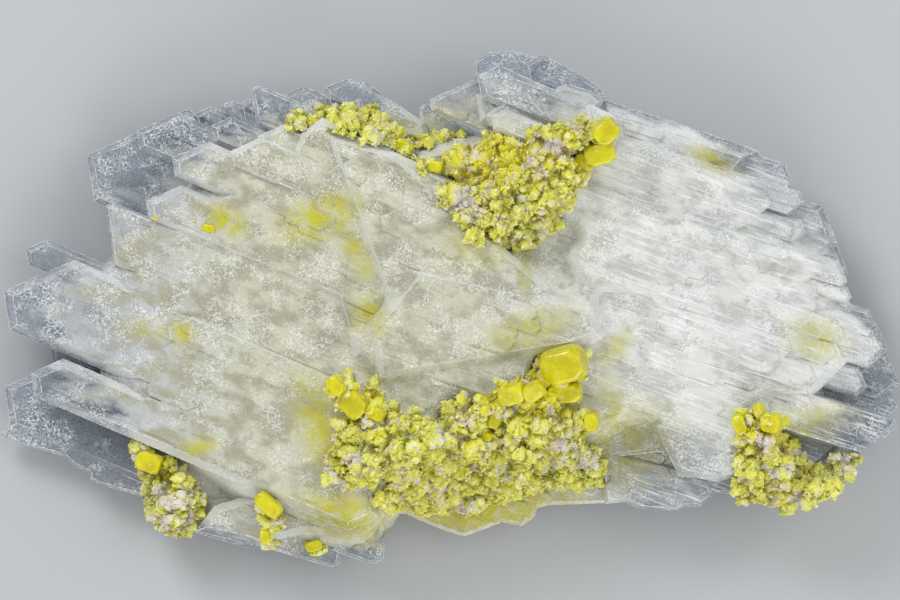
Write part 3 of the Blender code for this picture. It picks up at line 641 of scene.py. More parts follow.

# %% [markdown]
# ## Bright edges
#
# A thin blade of selenite gathers light at its edges. They also chip and turn frosty, and one sees each blade
# drawn in a fine white line. The line is made as a frosted edge whose white also stands for the gathered
# light, a painted highlight: a slim rod with four sides along every sharp outward edge of the blades. Its
# thickness varies along its length, because the edge is chipped and not ruled.

# %% Find the sharp edges
EDGE_LENGTH = 1.2  # the shortest edge that gets a rod, in millimetres
EDGE_ANGLE = 32.0  # the least turn between the two faces, in degrees
EDGE_RADIUS = (0.04, 0.13)  # half thickness of a rod in millimetres, least and most
EDGE_STATIONS = 7  # rings of corners along a rod
EDGE_TAPER = 0.5  # how thick its ends are beside the rest of it
EDGE_SINK = 0.35  # how deep a rod lies in the edge, in its own half thickness
HEART_REACH, HEART_EDGE = 0.8, 0.55  # within this share of the infill rods are slimmer, by this factor


def sharp_edges(corners, triangles):
    """The outward edges of a closed mesh: both ends, and the mean normal of the two faces that meet there.

    Each triangle's three edges are sorted so that an edge's two halves lie side by side. The edge is
    outward where the second face's far corner lies below the first face.
    """
    normals = np.cross(corners[triangles[:, 1]] - corners[triangles[:, 0]],
                       corners[triangles[:, 2]] - corners[triangles[:, 0]])
    normals /= np.maximum(np.linalg.norm(normals, axis=1), 1e-12)[:, None]
    halves = np.concatenate([triangles[:, (i, (i + 1) % 3, (i + 2) % 3)] for i in range(3)])
    face = np.tile(np.arange(len(triangles)), 3)
    key = np.sort(halves[:, :2], axis=1)
    order = np.lexsort((key[:, 1], key[:, 0]))
    key, halves, face = key[order], halves[order], face[order]
    first = np.flatnonzero((key[1:] == key[:-1]).all(axis=1))
    second = first + 1
    one, other = normals[face[first]], normals[face[second]]
    turn = np.degrees(np.arccos(np.clip(np.sum(one * other, axis=1), -1.0, 1.0)))
    drop_away = np.sum((corners[halves[second, 2]] - corners[halves[first, 0]]) * one, axis=1)
    length = np.linalg.norm(corners[key[first, 1]] - corners[key[first, 0]], axis=1)
    kept = (turn > EDGE_ANGLE) & (drop_away < 0.0) & (length > EDGE_LENGTH * MM)
    out = one + other
    out /= np.maximum(np.linalg.norm(out, axis=1), 1e-9)[:, None]
    return corners[key[first[kept], 0]], corners[key[first[kept], 1]], out[kept]


def faces_of_many(faces, count, size):
    """The faces of one form for each of many copies that have size corners each, numbered through."""
    return (np.arange(count)[:, None, None] * size + np.array(faces)).reshape(-1, len(faces[0]))


def rods(starts, ends, out, rng):
    """Four-sided rods from starts to ends: rings across each edge, of a random half width each."""
    along = (ends - starts) / np.linalg.norm(ends - starts, axis=1)[:, None]
    across = np.cross(along, out)
    share = np.linspace(0.0, 1.0, EDGE_STATIONS)
    radius = rng.uniform(*EDGE_RADIUS, (len(starts), EDGE_STATIONS)) * MM
    radius[:, (0, -1)] *= EDGE_TAPER
    from_heart = (0.5 * (starts + ends)[:, :2] / MM - INFILL_MIDDLE) / INFILL_HALF
    radius[np.linalg.norm(from_heart, axis=1) < HEART_REACH] *= HEART_EDGE
    middle = starts[:, None] + share[None, :, None] * (ends - starts)[:, None]
    middle -= EDGE_SINK * radius[:, :, None] * out[:, None]
    ways_out = np.stack((out, across, -out, -across), axis=1)
    rings = middle[:, :, None] + radius[:, :, None, None] * ways_out[:, None]
    return rings.reshape(-1, 3)


starts, ends, out = sharp_edges(core_corners, core_triangles)
rod_corners = rods(starts, ends, out, np.random.default_rng(8))
rod_faces = faces_of_many(prism_faces(4, EDGE_STATIONS), len(starts), 4 * EDGE_STATIONS)
low, high = np.array(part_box("gypsum_cluster"))
edges = mesh_object("gypsum_edges", np.clip(rod_corners, low, high), rod_faces)
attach(edges, "root")
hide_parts("gypsum_cluster")
print(len(starts), "sharp edges,", len(rod_faces), "faces")

# %% [markdown]
# ## Selenite, clear at the rim and milky in the heart
#
# Selenite is clear gypsum. It is colourless, splits like mica and bends light a little more than window
# glass does. In the heart of the fan it is full of fluid-filled cracks and crowded layers, which scatter
# light and make it milky, and where it grew over sulphur the yellow shines through. One material does all
# of it: masks laid out in the specimen's own coordinates say how milky and how yellow a place is, and the
# shader turns from glass to a milky body between them. The steep faces of the steps are painted lighter,
# painted light that lifts the shade falling on the sides of the steps, so each face carries how steep it is.

# %% How steep each face is


def values_of(items, name, size=1):
    """A property of all of a mesh's corners or faces as one array, with a row of size numbers for each."""
    values = np.empty(len(items) * size)
    items.foreach_get(name, values)
    return values.reshape(-1, size)


def set_values(mesh, name, values, domain="POINT"):
    """Store one number per corner, or per face, under a name that a material can read."""
    layer = mesh.attributes.new(name, "FLOAT", domain)
    layer.data.foreach_set("value", values.astype(np.float32))


steepness = 1.0 - np.abs(values_of(gypsum.data.polygons, "normal", 3)[:, 2])
set_values(gypsum.data, "steep", steepness, "FACE")
print(round(100 * float(np.mean(steepness > 0.5))), "% of the faces are steep")

# %% Masks of the selenite
HEARTS = (  # the milky parts, in millimetres: middle X, Y, half axes, turn in degrees
    (4, 0, 80, 41, 0), (-33, -31, 31, 17, -14), (10, -39, 26, 8, 5),
)
MILK_EDGE = (0.86, 1.08)  # where the milk ends, in those half axes
MILK_LEVELS, MILK_RISE = (2.0, 22.0), 0.12  # it reaches out further below and less above
CLEARINGS = (  # places where the milk thins: middle X, Y, half axes, turn in degrees, how much goes
    (41, -31, 18, 11, 0, 0.7), (-72, -2, 16, 7, -20, 0.4), (-60, 22, 12, 8, 30, 0.35),
    (14, 44, 16, 8, -10, 0.5), (66, 20, 12, 7, -30, 0.4), (-30, -43, 18, 5, -10, 0.35),
)
CLOUDS = (  # sulphur under the surface: middle X, Y, half axes, turn in degrees, strength
    (-44.5, 17.5, 5, 3.2, -30, 1), (-26, 18, 9.5, 5, 20, 1), (-18.5, 11, 3, 8, 30, 0.75),
    (-16, -1.5, 4.5, 5.5, 20, 0.85), (-61, -4, 8, 3, -10, 0.6), (-53.5, -5, 3.5, 3.2, -30, 0.85),
    (16, -4.5, 12, 5, 20, 0.65), (33, -8, 6, 3, 40, 0.7), (53, 29.5, 6.5, 2.8, -20, 0.9),
    (73, -6, 8, 6, -10, 0.6), (72, -24, 14, 6, 20, 0.7), (-25.5, -24, 5.5, 13, 20, 0.9),
    (33, -24, 4.5, 13, 10, 0.8), (8, -40.5, 24, 6.5, 0, 1), (-50, -27.5, 5, 2.6, 10, 0.8),
    (8, 13, 13, 7, 0, 0.45), (-21, -42, 13, 6, -10, 1), (35, -28, 14, 11, 0, 0.85),
    (15, 7.5, 1.8, 6.5, 0, 0.6),
)
CLOUD_EDGE = (0.15, 1.35)  # where a cloud starts and ends to fade, in those half axes

selenite, tree = new_material("selenite")
place = add(tree, "TexCoord", out="Object")
x_place = add(tree, "SeparateXYZ", None, place)
z_place = x_place.node.outputs["Z"]
along_blades = (0.0, 0.0, BLADE_TURN)

turned = turned_places(tree, place, HEARTS + CLEARINGS + CLOUDS)
far = nearest(tree, turned, HEARTS)
rise = add(tree, "MapRange", None, z_place, *mm(*MILK_LEVELS), MILK_RISE, -MILK_RISE)
blown = add(tree, "Mapping", MEASURE, place, NOWHERE, along_blades, mm(9.0, 4.0, 6.0))
wobble = add(tree, "MapRange", None, add(tree, "TexNoise", None, blown, 1.0, 3.0, 0.6), 0.0, 1.0, -0.28, 0.28)
far = add(tree, "Math", PLUS, add(tree, "Math", PLUS, far, rise), wobble)
milk = add(tree, "MapRange", EASE, far, *MILK_EDGE, 1.0, 0.0)
for *row, share in CLEARINGS:
    left_over = add(tree, "MapRange", EASE, reach(tree, turned, *row), 0.3, 1.1, 1.0 - share, 1.0)
    milk = add(tree, "Math", TIMES, milk, left_over)

# All clouds share one slope, and a weaker cloud starts further out on it.
slope, (inner, outer) = np.linspace(0.0, 1.0, 101), CLOUD_EDGE
shares = np.interp([row[5] for row in CLOUDS], smoothstep(slope, 0.0, 1.0), slope)
columns = [(*row[:5], outer - (outer - inner) * share) for row, share in zip(CLOUDS, shares)]
near = nearest(tree, turned, columns)
cloud = add(tree, "MapRange", EASE, near, *CLOUD_EDGE, 1.0, 0.0)
flecks = add(tree, "TexNoise", None, place, every(2.2), 3.0, 0.7)
cloud = add(tree, "Math", TIMES, cloud, add(tree, "MapRange", EASE, flecks, 0.34, 0.58, 0.30, 1.0))
print(len(HEARTS), "hearts,", len(CLEARINGS), "clearings,", len(CLOUDS), "clouds:", len(tree.nodes), "nodes")

# %% The grain of the selenite
# Drifts are the soft patches of tone, clusters say where the white specks gather, curls are the fine bent
# cracks, dust the finest specks, runs the streaks along the blades, and windows the clear spots in the milk.
# The white specks, cracks and streaks are partly real frost and partly painted glints. The real specks are
# hundredths of a millimetre across, so they are drawn coarser to show at all.
lengthwise = add(tree, "Mapping", MEASURE, place, NOWHERE, along_blades, mm(6.0, 3.6, 5.0))
drifts = add(tree, "TexNoise", None, lengthwise, 1.0, 3.0, 0.55)
gathered = add(tree, "TexNoise", None, place, every(5.5), 2.0, 0.6)
clusters = add(tree, "MapRange", EASE, gathered, 0.42, 0.62, 0.15, 1.0)
bent = add(tree, "Math", LESS, add(tree, "TexNoise", None, place, every(1.1), 3.0, 0.65), 0.5)
curls = add(tree, "MapRange", EASE, add(tree, "Math", SIZE, bent), 0.004, 0.030, 1.0, 0.0)
fine = add(tree, "TexNoise", None, place, every(0.42), 2.0, 0.6)
dust = add(tree, "MapRange", EASE, fine, 0.56, 0.68, 0.0, 1.0)
longways = add(tree, "Mapping", MEASURE, place, NOWHERE, along_blades, mm(9.0, 0.45, 3.0))
streaks = add(tree, "TexNoise", None, longways, 1.0, 2.0, 0.6)
runs = add(tree, "MapRange", EASE, streaks, 0.54, 0.66, 0.0, 1.0)
thinner = add(tree, "TexNoise", None, place, every(3.0), 2.0, 0.55)
windows = add(tree, "MapRange", EASE, thinner, 0.60, 0.70, 0.0, 1.0)
right = add(tree, "MapRange", EASE, x_place, 0.000, 0.045, 0.0, 1.0)
left = add(tree, "MapRange", EASE, x_place, -0.035, -0.068, 0.0, 1.0)
print("with the grain:", len(tree.nodes), "nodes")

# %% Selenite's colours and body
GYPSUM_IOR = 1.525  # the mean of gypsum's three
BLUE_DEPTH = 160.0  # absorption for each metre: a long way through a clear blade is faintly blue
warm = add(tree, "Mix", COLOURS, left, srgb("#c5c4ae"), srgb("#b6b9bc"))
pale = add(tree, "Mix", COLOURS, right, warm, srgb("#d6d7d4"))
dark = add(tree, "Mix", COLOURS, right, srgb("#a3a18a"), srgb("#b9bbb7"))
drifting = add(tree, "MapRange", EASE, drifts, 0.38, 0.60, 0.0, 1.0)
# White specks, cracks and streaks: partly the selenite's real frost, partly painted glints of light.
specks_and_glints = add(tree, "Math", TIMES, clusters, add(tree, "Math", MOST, curls, dust))
right_runs = add(tree, "Math", TIMES, runs, add(tree, "Math", TIMES, right, 0.7))
specks_and_glints = add(tree, "Math", MOST, specks_and_glints, right_runs)
stored = add(tree, "Attribute", {"attribute_name": "steep"}, out="Fac")
steep = add(tree, "MapRange", EASE, stored, 0.12, 0.55, 0.0, 1.0)
milky = add(tree, "Mix", COLOURS, drifting, dark, pale)
# The steep faces are painted lighter here: painted light that lifts the shade on the sides of the steps.
for mask, share, colour in ((windows, 0.4, "#8d8f78"), (specks_and_glints, 0.75, "#f7f9f8"), (steep, 0.6, "#eceeec")):
    milky = add(tree, "Mix", COLOURS, add(tree, "Math", TIMES, mask, share), milky, srgb(colour))
glassy = add(tree, "Mix", COLOURS, add(tree, "Math", TIMES, specks_and_glints, 0.9), srgb("#e4eaf0"), srgb("#fbfcfc"))
stain = add(tree, "Mix", COLOURS, milk, srgb("#887f12"), srgb("#bfba1a"))
tinted = add(tree, "Mix", COLOURS, cloud, add(tree, "Mix", COLOURS, milk, glassy, milky), stain)

bare = add(tree, "MapRange", None, milk, 0.0, 0.97, 0.94, 0.0)
rough = add(tree, "Math", MOST, specks_and_glints, add(tree, "Math", TIMES, steep, 0.25))
frost = add(tree, "MapRange", None, rough, 0.0, 1.0, 1.0, 0.12)
unstained = add(tree, "MapRange", None, cloud, 0.0, 1.0, 1.0, 0.45)
clear_share = add(tree, "Math", TIMES, add(tree, "Math", TIMES, bare, frost), unstained)
dull = add(tree, "MapRange", None, fine, 0.3, 0.7, 0.12, 0.34)
relief = add(tree, "Bump", None, Height=streaks, Strength=0.45, Distance=0.22 * MM)
sugary = add(tree, "MapRange", None, milk, 0.0, 1.0, 0.15, 0.55)
relief = add(tree, "Bump", None, Height=fine, Strength=sugary, Distance=0.22 * MM, Normal=relief)
body = add(tree, "BsdfPrincipled", None, Base_Color=tinted, Roughness=dull, IOR=GYPSUM_IOR, Normal=relief,
           Transmission_Weight=clear_share)
depth = add(tree, "VolumeAbsorption", None, srgb("#ccd6e2"), BLUE_DEPTH)
add(tree, "OutputMaterial", None, body, depth)
gypsum.data.materials.append(selenite)
print("selenite:", len(tree.nodes), "nodes")

# %% The finish of the edges
# Chipped selenite: the same gypsum, broken into splinters too small to see, so it is frosty white and opaque.
# Its white is also a painted highlight, standing for the light that a blade gathers at its edges.
edge_frost_and_highlight, tree = new_material("selenite_edge_frost_and_highlight")
place = add(tree, "TexCoord", out="Object")
chips = add(tree, "TexNoise", None, place, every(0.8), 3.0, 0.6)
chipped = add(tree, "MapRange", EASE, chips, 0.4, 0.6, 0.0, 1.0)
shade = add(tree, "Mix", COLOURS, chipped, srgb("#b4babf"), srgb("#eef0f1"))
body = add(tree, "BsdfPrincipled", None, Base_Color=shade, Roughness=0.35, IOR=GYPSUM_IOR)
add(tree, "OutputMaterial", None, body)
edges.data.materials.append(edge_frost_and_highlight)
print("chipped edge:", len(tree.nodes), "nodes")

# %% [markdown]
# ## The crusts
#
# The sulphur crust is a cauliflower: lumps made of smaller lumps made of grains, because every crystal that
# sits a little proud catches more of the vapour it grows from. A surface like that is built up in scales.
# The model's solid gives the large form. It is rebuilt as an even net of small faces, and every corner of
# the net is then pushed out along its normal by three sizes of round lumps, worked out for all corners at
# once.
#
# Each crust is its own piece and stands for the solid under it. The underside follows the blades with a
# hair's breadth to spare, so the lumps fade out where the surface faces down.

# %% Grow the skin of each crust
CRUST_NET = 0.36  # spacing of the net's corners in millimetres
CRUST_LUMPS = ((4.2, 2.0), (2.0, 1.4), (0.95, 0.6))  # size of the lumps and how far they push out
LUMP_LEVEL = 0.40  # the height within a lump that neither pushes out nor sinks in
CRUST_BASE = -0.35  # how far the whole skin is drawn in first, to make room for the lumps
CRUST_FLOOR = -0.8  # how far at most the creases sink below the solid
UNDERSIDE, TOPSIDE = -0.35, 0.25  # between these upward parts of the normal the lumps fade in
CRUST_BRIDGES = {  # ellipsoids that close a slot in a solid: middle and half axes in millimetres
    "sulphur_crust_bottom": ((22.0, -33.4, 12.4, 9.0, 2.6, 3.4), (15.0, -32.6, 13.0, 5.0, 2.8, 3.2)),
}
CREASE_WIDTH = 0.35  # how wide the crease between two lumps is, in lump sizes
CRUST_NODES = ("sulphur_crust_bottom", "sulphur_crust_top", "sulphur_crust_right", "sulphur_crust_left",
               "sulphur_sprig", "sulphur_bead")


def vertex_arrays(mesh):
    """The places and normals of a mesh's corners."""
    return values_of(mesh.vertices, "co", 3), values_of(mesh.vertex_normals, "vector", 3)


def globe(around, along):
    """Unit vectors over longitude and latitude with a pole at either end, and the faces between them."""
    turn, tilt = np.meshgrid(np.linspace(0, math.tau, around, endpoint=False),
                             np.linspace(-math.pi / 2, math.pi / 2, along + 1)[1:-1])
    ways_out = np.stack((np.cos(tilt) * np.cos(turn), np.cos(tilt) * np.sin(turn), np.sin(tilt)), axis=-1)
    ways_out = np.vstack((ways_out.reshape(-1, 3), (0.0, 0.0, -1.0), (0.0, 0.0, 1.0)))
    last = (along - 1) * around
    faces = bands(around, along - 1)
    faces += [(last, (i + 1) % around, i) for i in range(around)]
    faces += [(last + 1, last - around + i, last - around + (i + 1) % around) for i in range(around)]
    return ways_out, faces


def crust_skin(node, seed):
    """A crust as an even net over its solid, rounded, then pushed out by lumps of falling size."""
    corners, triangles = merged_copy(node)
    faces = [tuple(triangle) for triangle in triangles.tolist()]
    for *middle, x_half, y_half, z_half in CRUST_BRIDGES.get(node, ()):
        ball, ball_faces = globe(24, 12)
        faces += shifted(ball_faces, len(corners))
        corners = np.vstack((corners, mm(*middle) + ball * mm(x_half, y_half, z_half)))
    skin = mesh_object(node + "_skin", corners, faces)
    low, high = np.array(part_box(node))
    net = skin.modifiers.new("net", "REMESH")
    net.mode, net.voxel_size = "VOXEL", CRUST_NET * MM
    round_off = skin.modifiers.new("round", "SMOOTH")
    round_off.iterations, round_off.factor = 5, 0.5
    settle(skin)
    skin.data.name = node + "_skin"
    places, normals = vertex_arrays(skin.data)
    up = np.clip((normals[:, 2] - UNDERSIDE) / (TOPSIDE - UNDERSIDE), 0.0, 1.0)
    pushed, crease = np.full(len(places), CRUST_BASE), np.zeros(len(places))
    for number, (size, amount) in enumerate(CRUST_LUMPS):
        dome, seam, tone = lumps(places / MM, size, seed + number)
        top = dome * np.sqrt(np.clip(seam / CREASE_WIDTH, 0.0, 1.0))
        pushed += amount * (top - LUMP_LEVEL)
        crease += amount * top
    places += normals * (np.maximum(pushed, CRUST_FLOOR) * up * MM)[:, None]
    skin.data.vertices.foreach_set("co", np.clip(places, low, high).ravel())
    skin.data.update()
    # The level within the lumps is kept: the grains go by it, and the crust's painted shade darkens the
    # creases by it.
    set_values(skin.data, "top", crease / sum(amount for _, amount in CRUST_LUMPS))
    set_values(skin.data, "tone", tone)
    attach(skin, "root")
    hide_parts(node)
    return skin


skins = [crust_skin(node, 10 * number) for number, node in enumerate(CRUST_NODES)]
for skin in skins:
    print(skin.name, len(skin.data.polygons), "faces")

# %% [markdown]
# Here and there the sulphur had room to grow single crystals up to nine millimetres long. Their places were
# read off the specimen, looking straight down. They are listed before the grains, because the grains leave
# room for them.

# %% Where the larger crystals sit
LARGE_CRYSTALS = {  # by node: middle X, Y, half length, half width, turn in degrees, share that stands out
    "sulphur_crust_bottom": (
        (22.7, -11.1, 4.2, 3.4, 14, 0.85), (23, -16.6, 3.3, 2, 4, 0.7), (12.4, -17, 2.6, 1.9, 18, 0.65),
        (16.6, -16.4, 2.2, 1.7, 35, 0.75), (-22.6, -15.4, 2, 1.4, -48, 0.6),
        (-19.2, -18.9, 2.9, 2.3, -50, 0.7), (-14.8, -20.8, 1.8, 1.3, -30, 0.55),
        (-24.6, -13.2, 1.2, 0.9, -20, 0.6), (4.4, -27.4, 1.5, 1.1, 30, 0.4),
        (28.2, -22.4, 1.4, 1.9, 0, 0.35), (8.8, -22, 1.8, 1.2, 70, 0.4), (7.2, -25.4, 1.2, 0.9, -20, 0.45),
    ),
    "sulphur_crust_top": (
        (31, 35.3, 2.5, 2.2, 40, 0.95), (29.9, 31, 3, 2.2, 14, 0.75), (27, 29.4, 2, 1.7, -20, 0.6),
        (13.5, 36.2, 2.2, 1.2, -15, 0.35), (-2.8, 28.3, 1.3, 1.1, -10, 0.5),
        (-9, 32.4, 1.8, 1.1, -30, 0.4),
    ),
    "sulphur_crust_right": (
        (57.8, -22.9, 1.2, 2.1, 20, 0.7), (61.8, -20.6, 0.9, 1.8, 25, 0.7), (64, -22.8, 2, 1.9, -12, 0.85),
    ),
    "sulphur_crust_left": ((-60.2, -30.6, 2.5, 2, -20, 0.7),),
    "sulphur_sprig": ((-36.2, -39.2, 2.9, 1.6, -42, 0.9), (-36.8, -45.4, 0.9, 1.6, 10, 0.5)),
    "sulphur_bead": ((-27.2, -47.4, 1.7, 1.1, 15, 0.75),),
    "gypsum_cluster": (
        (-58.8, 18, 0.5, 0.4, 0, 0.5), (-51, 17.1, 0.4, 0.3, 0, 0.5), (-48.1, 16.1, 1.4, 0.8, -12, 0.5),
        (-36.9, 31, 0.4, 0.4, 0, 0.5), (-48.8, 8.5, 0.5, 0.4, 0, 0.5), (37.1, 17, 0.6, 0.5, 0, 0.5),
        (76.9, 16.3, 0.6, 0.5, 0, 0.5),
    ),
}
print("larger crystals:", sum(len(rows) for rows in LARGE_CRYSTALS.values()))

# %% [markdown]
# On the skin sit the grains: sulphur crystals the size of sand, each a stubby double pyramid with its
# points cut off, turned any way it likes. One such form is drawn once. It is then copied to thousands of
# places in one array operation, and each copy gets a tone of its own, which is what keeps the crust from
# looking like cast plastic.

# %% Scatter the grains
GRAIN_CUT, GRAIN_WAIST = 0.45, 0.8  # a grain's half width at its ends and its waist, beside its half length
GRAIN_SIZE = (0.17, 0.54)  # half length of a grain in millimetres, least and most
GRAIN_RARITY = 2.8  # the higher, the rarer the large grains
GRAINS_PER_AREA = 3.4  # grains for each square millimetre of skin
MOST_GRAINS = 9500  # on one crust, which keeps its piece under 200,000 triangles
GRAIN_SINK = 0.15  # how deep a grain sits, in its own half lengths
GRAIN_ROOM = 1.2  # how far its middle stays inside the solid's box, in the same
GRAIN_STRETCH = (0.75, 1.1)  # how much its three lengths differ from its size
GRAIN_FACING = -0.2  # the least upward part of the normal where one grows
BARE_CREASE = 0.12  # the level in a crease, from 0 to 1, under which no grain sits
CREASE_ODDS = 0.3  # the higher, the more grains sit in creases
LEAST_TOP, TOP_SHARE = 0.12, 0.9  # a grain's own level is that much, and this share of the skin's under it
CRYSTAL_MARGIN = (0.8, 1.3)  # squared distance, in its half axes, that a small or large crystal keeps free
LARGE_FROM = 2.4  # half length from which a crystal counts as large


def grain_form():
    """A truncated double pyramid on four sides: rings of four corners at three levels."""
    angles = math.tau * (np.arange(4) + 0.5) / 4
    rings = [np.column_stack((wide * np.cos(angles), wide * np.sin(angles), np.full(4, level)))
             for level, wide in ((-1.0, GRAIN_CUT), (0.0, GRAIN_WAIST), (1.0, GRAIN_CUT))]
    return np.vstack(rings)


def random_turns(count, rng):
    """Rotation matrices spread evenly over all turns: 1 + 2 (w K + K K), from random unit quaternions.

    K is the matrix that takes the cross product with the quaternion's x, y, z.
    """
    quaternions = rng.normal(size=(4, count))
    w, x, y, z = quaternions / np.linalg.norm(quaternions, axis=0)
    o = np.zeros(count)
    cross = np.stack((o, -z, y, z, o, -x, -y, x, o), axis=1).reshape(count, 3, 3)
    return np.eye(3) + 2.0 * (w[:, None, None] * cross + cross @ cross)


def copies(form, faces, places, turns, sizes):
    """One form copied to many places: each turned, scaled and moved, with its faces renumbered."""
    corners = np.einsum("nij,kj->nki", turns, form) * sizes[:, None, :] + places[:, None]
    return corners.reshape(-1, 3), faces_of_many(faces, len(places), len(form))


def clear_of_crystals(points, rows):
    """Which points lie outside the ellipse of every larger crystal in the rows, seen from above."""
    free = np.ones(len(points), dtype=bool)
    for x, y, half_length, half_width, turn, _ in rows:
        away = (points[:, :2] - (x, y)) @ ways((turn, turn + 90.0)).T / (half_length, half_width)
        free &= np.sum(away**2, axis=1) > CRYSTAL_MARGIN[half_length > LARGE_FROM]
    return free


def grow_grains(skin, node, seed):
    """Grains over the upward side of a skin, placed at random on its corners."""
    rng = np.random.default_rng(seed)
    places, normals = vertex_arrays(skin.data)
    tops = values_of(skin.data.attributes["top"].data, "value")[:, 0]
    able = (normals[:, 2] > GRAIN_FACING) & (tops > BARE_CREASE)
    able = np.flatnonzero(able & clear_of_crystals(places / MM, LARGE_CRYSTALS[node]))
    wanted = min(int(GRAINS_PER_AREA * CRUST_NET**2 * len(able)), MOST_GRAINS, len(able))
    odds = CREASE_ODDS + tops[able]
    chosen = rng.choice(able, wanted, replace=False, p=odds / np.sum(odds))
    least, most = GRAIN_SIZE
    half = (least + (most - least) * rng.uniform(size=len(chosen)) ** GRAIN_RARITY) * MM
    seats = places[chosen] - normals[chosen] * (GRAIN_SINK * half)[:, None]
    low, high = np.array(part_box(node))
    seats = np.clip(seats, low + GRAIN_ROOM * half[:, None], high - GRAIN_ROOM * half[:, None])
    sizes = half[:, None] * rng.uniform(*GRAIN_STRETCH, (len(chosen), 3))
    turns = random_turns(len(chosen), rng)
    corners, quads = copies(grain_form(), prism_faces(4, 3), seats, turns, sizes)
    grains = mesh_object(node + "_grains", corners, quads)
    # A grain takes a level from the skin under it, which sets how much painted crease shade its colour gets.
    set_values(grains.data, "top", np.repeat(LEAST_TOP + TOP_SHARE * tops[chosen], len(grain_form())))
    set_values(grains.data, "tone", np.repeat(rng.uniform(size=len(chosen)), len(grain_form())))
    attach(grains, "root")
    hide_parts(node)
    return grains


grains = [grow_grains(skin, node, 50 + number) for number, (skin, node) in enumerate(zip(skins, CRUST_NODES))]
print("grains:", sum(len(piece.data.polygons) for piece in grains) // 10)

# %% [markdown]
# ## The larger crystals
#
# The larger crystals are blunt double pyramids with rounded edges, smooth and waxy. A convex crystal is the
# space under all of its faces, so seen from its middle the surface in any direction is where that direction
# meets the first face. Replacing "the first" by a high power mean of all faces rounds the edges off a
# little, as the real ones are.

# %% The form of a crystal
CRYSTAL_AXES = (0.81, 1.0, 1.90)  # the three lengths of sulphur's lattice, beside the second
CRYSTAL_FACES = (((1, 1, 1), 1.0), ((1, 0, 0), 0.74), ((0, 1, 0), 0.86), ((0, 0, 1), 0.80), ((0, 1, 1), 1.02))
EDGE_POWER = 48.0  # the higher, the sharper the edges


def face_normals():
    """Every face of the crystal: its unit normal, for each sign of each index, and its distance."""
    rows = {}
    for (h, k, l), far in CRYSTAL_FACES:
        for signs in np.ndindex(2, 2, 2):
            index = np.array((h, k, l)) * (1 - 2 * np.array(signs))
            normal = index / np.array(CRYSTAL_AXES)
            rows[tuple(index)] = (*(normal / np.linalg.norm(normal)), far)
    table = np.array(list(rows.values()))
    return table[:, :3], table[:, 3]


def crystal_surface(around=64, along=32):
    """A closed surface over longitude and latitude: its radius is the power mean of the way to each face."""
    ways_out, faces = globe(around, along)
    normals, far = face_normals()
    near = np.clip(ways_out @ normals.T, 0.0, None) / far
    radius = np.sum(near**EDGE_POWER, axis=1) ** (-1.0 / EDGE_POWER)
    return ways_out * radius[:, None], faces


print("the crystal's form has", len(face_normals()[1]), "faces")

# %% [markdown]
# Each one is sunk into the crust or the blade under it. The height of its seat is the mean over its own
# footprint, so that one pit or one grain under its middle doesn't sink it or lift it off.

# %% Place the larger crystals
CRYSTAL_DEPTH = 0.85  # a crystal's half thickness beside its half width
CRYSTAL_LEAN, LEAN_DIFFERS = (0.25, -0.20), 0.10  # about X and Y, in radians
FOOTPRINT = np.vstack((np.zeros((1, 2)), 0.6 * ways(np.arange(8) * 45.0)))  # where a seat's height is taken


def grow_crystals(node, rows, surface, seed):
    """The larger crystals of a node as one piece: copies of one form, each stretched, turned and seated."""
    corners, faces = crystal_surface()
    corners = corners / np.abs(corners).max(axis=0)
    rng = np.random.default_rng(seed)
    bodies, all_faces = [], []
    for number, (x, y, half_length, half_width, turn, proud) in enumerate(rows):
        under = surface((FOOTPRINT * (half_length, half_width)) @ ways((turn, turn + 90.0)) + (x, y))[:, 0]
        sizes = np.array((half_length, half_width, CRYSTAL_DEPTH * half_width))
        lean = np.array(CRYSTAL_LEAN) + rng.normal(0.0, LEAN_DIFFERS, 2)
        pose = np.array(Euler((*lean, math.radians(turn))).to_matrix())
        middle = np.array((x, y, np.nanmean(under) + (2.0 * proud - 1.0) * sizes[2]))
        body = ((corners * sizes) @ pose.T + middle) * MM
        body[:, 2] -= max(0.0, body[:, 2].max() - cad_high[2])
        bodies.append(np.clip(body, cad_low, cad_high))
        all_faces += shifted(faces, number * len(corners))
    piece = mesh_object(node + "_crystals", np.vstack(bodies), all_faces)
    piece.data.polygons.foreach_set("use_smooth", np.ones(len(piece.data.polygons), dtype=bool))
    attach(piece, "root")
    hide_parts(node)
    return piece


def surface_of(obj):
    """A function that drops places on to an object's faces."""
    corners = values_of(obj.data.vertices, "co", 3) / MM
    tree_here = BVHTree.FromPolygons(corners.tolist(), [tuple(face.vertices) for face in obj.data.polygons])
    return lambda places: drop(tree_here, places)


surfaces = {node: surface_of(skin) for node, skin in zip(CRUST_NODES, skins)} | {"gypsum_cluster": ground}
large = [grow_crystals(node, rows, surfaces[node], 70 + number)
         for number, (node, rows) in enumerate(LARGE_CRYSTALS.items())]
print("they make", len(large), "pieces")

# %% [markdown]
# ## Two finishes of sulphur
#
# Native sulphur is waxy and slightly see-through, so a smooth crystal glows from inside, deep yellow.
# Broken up into grains it scatters light at every face and turns a pale dusty yellow. The crust's colour is
# painted paler on the lumps' tops and deeper and darker in the creases, painted light and painted shade for
# the light that falls on the tops and bounces from grain to grain below. Some grains carry a skin of pale
# grey gypsum dust.

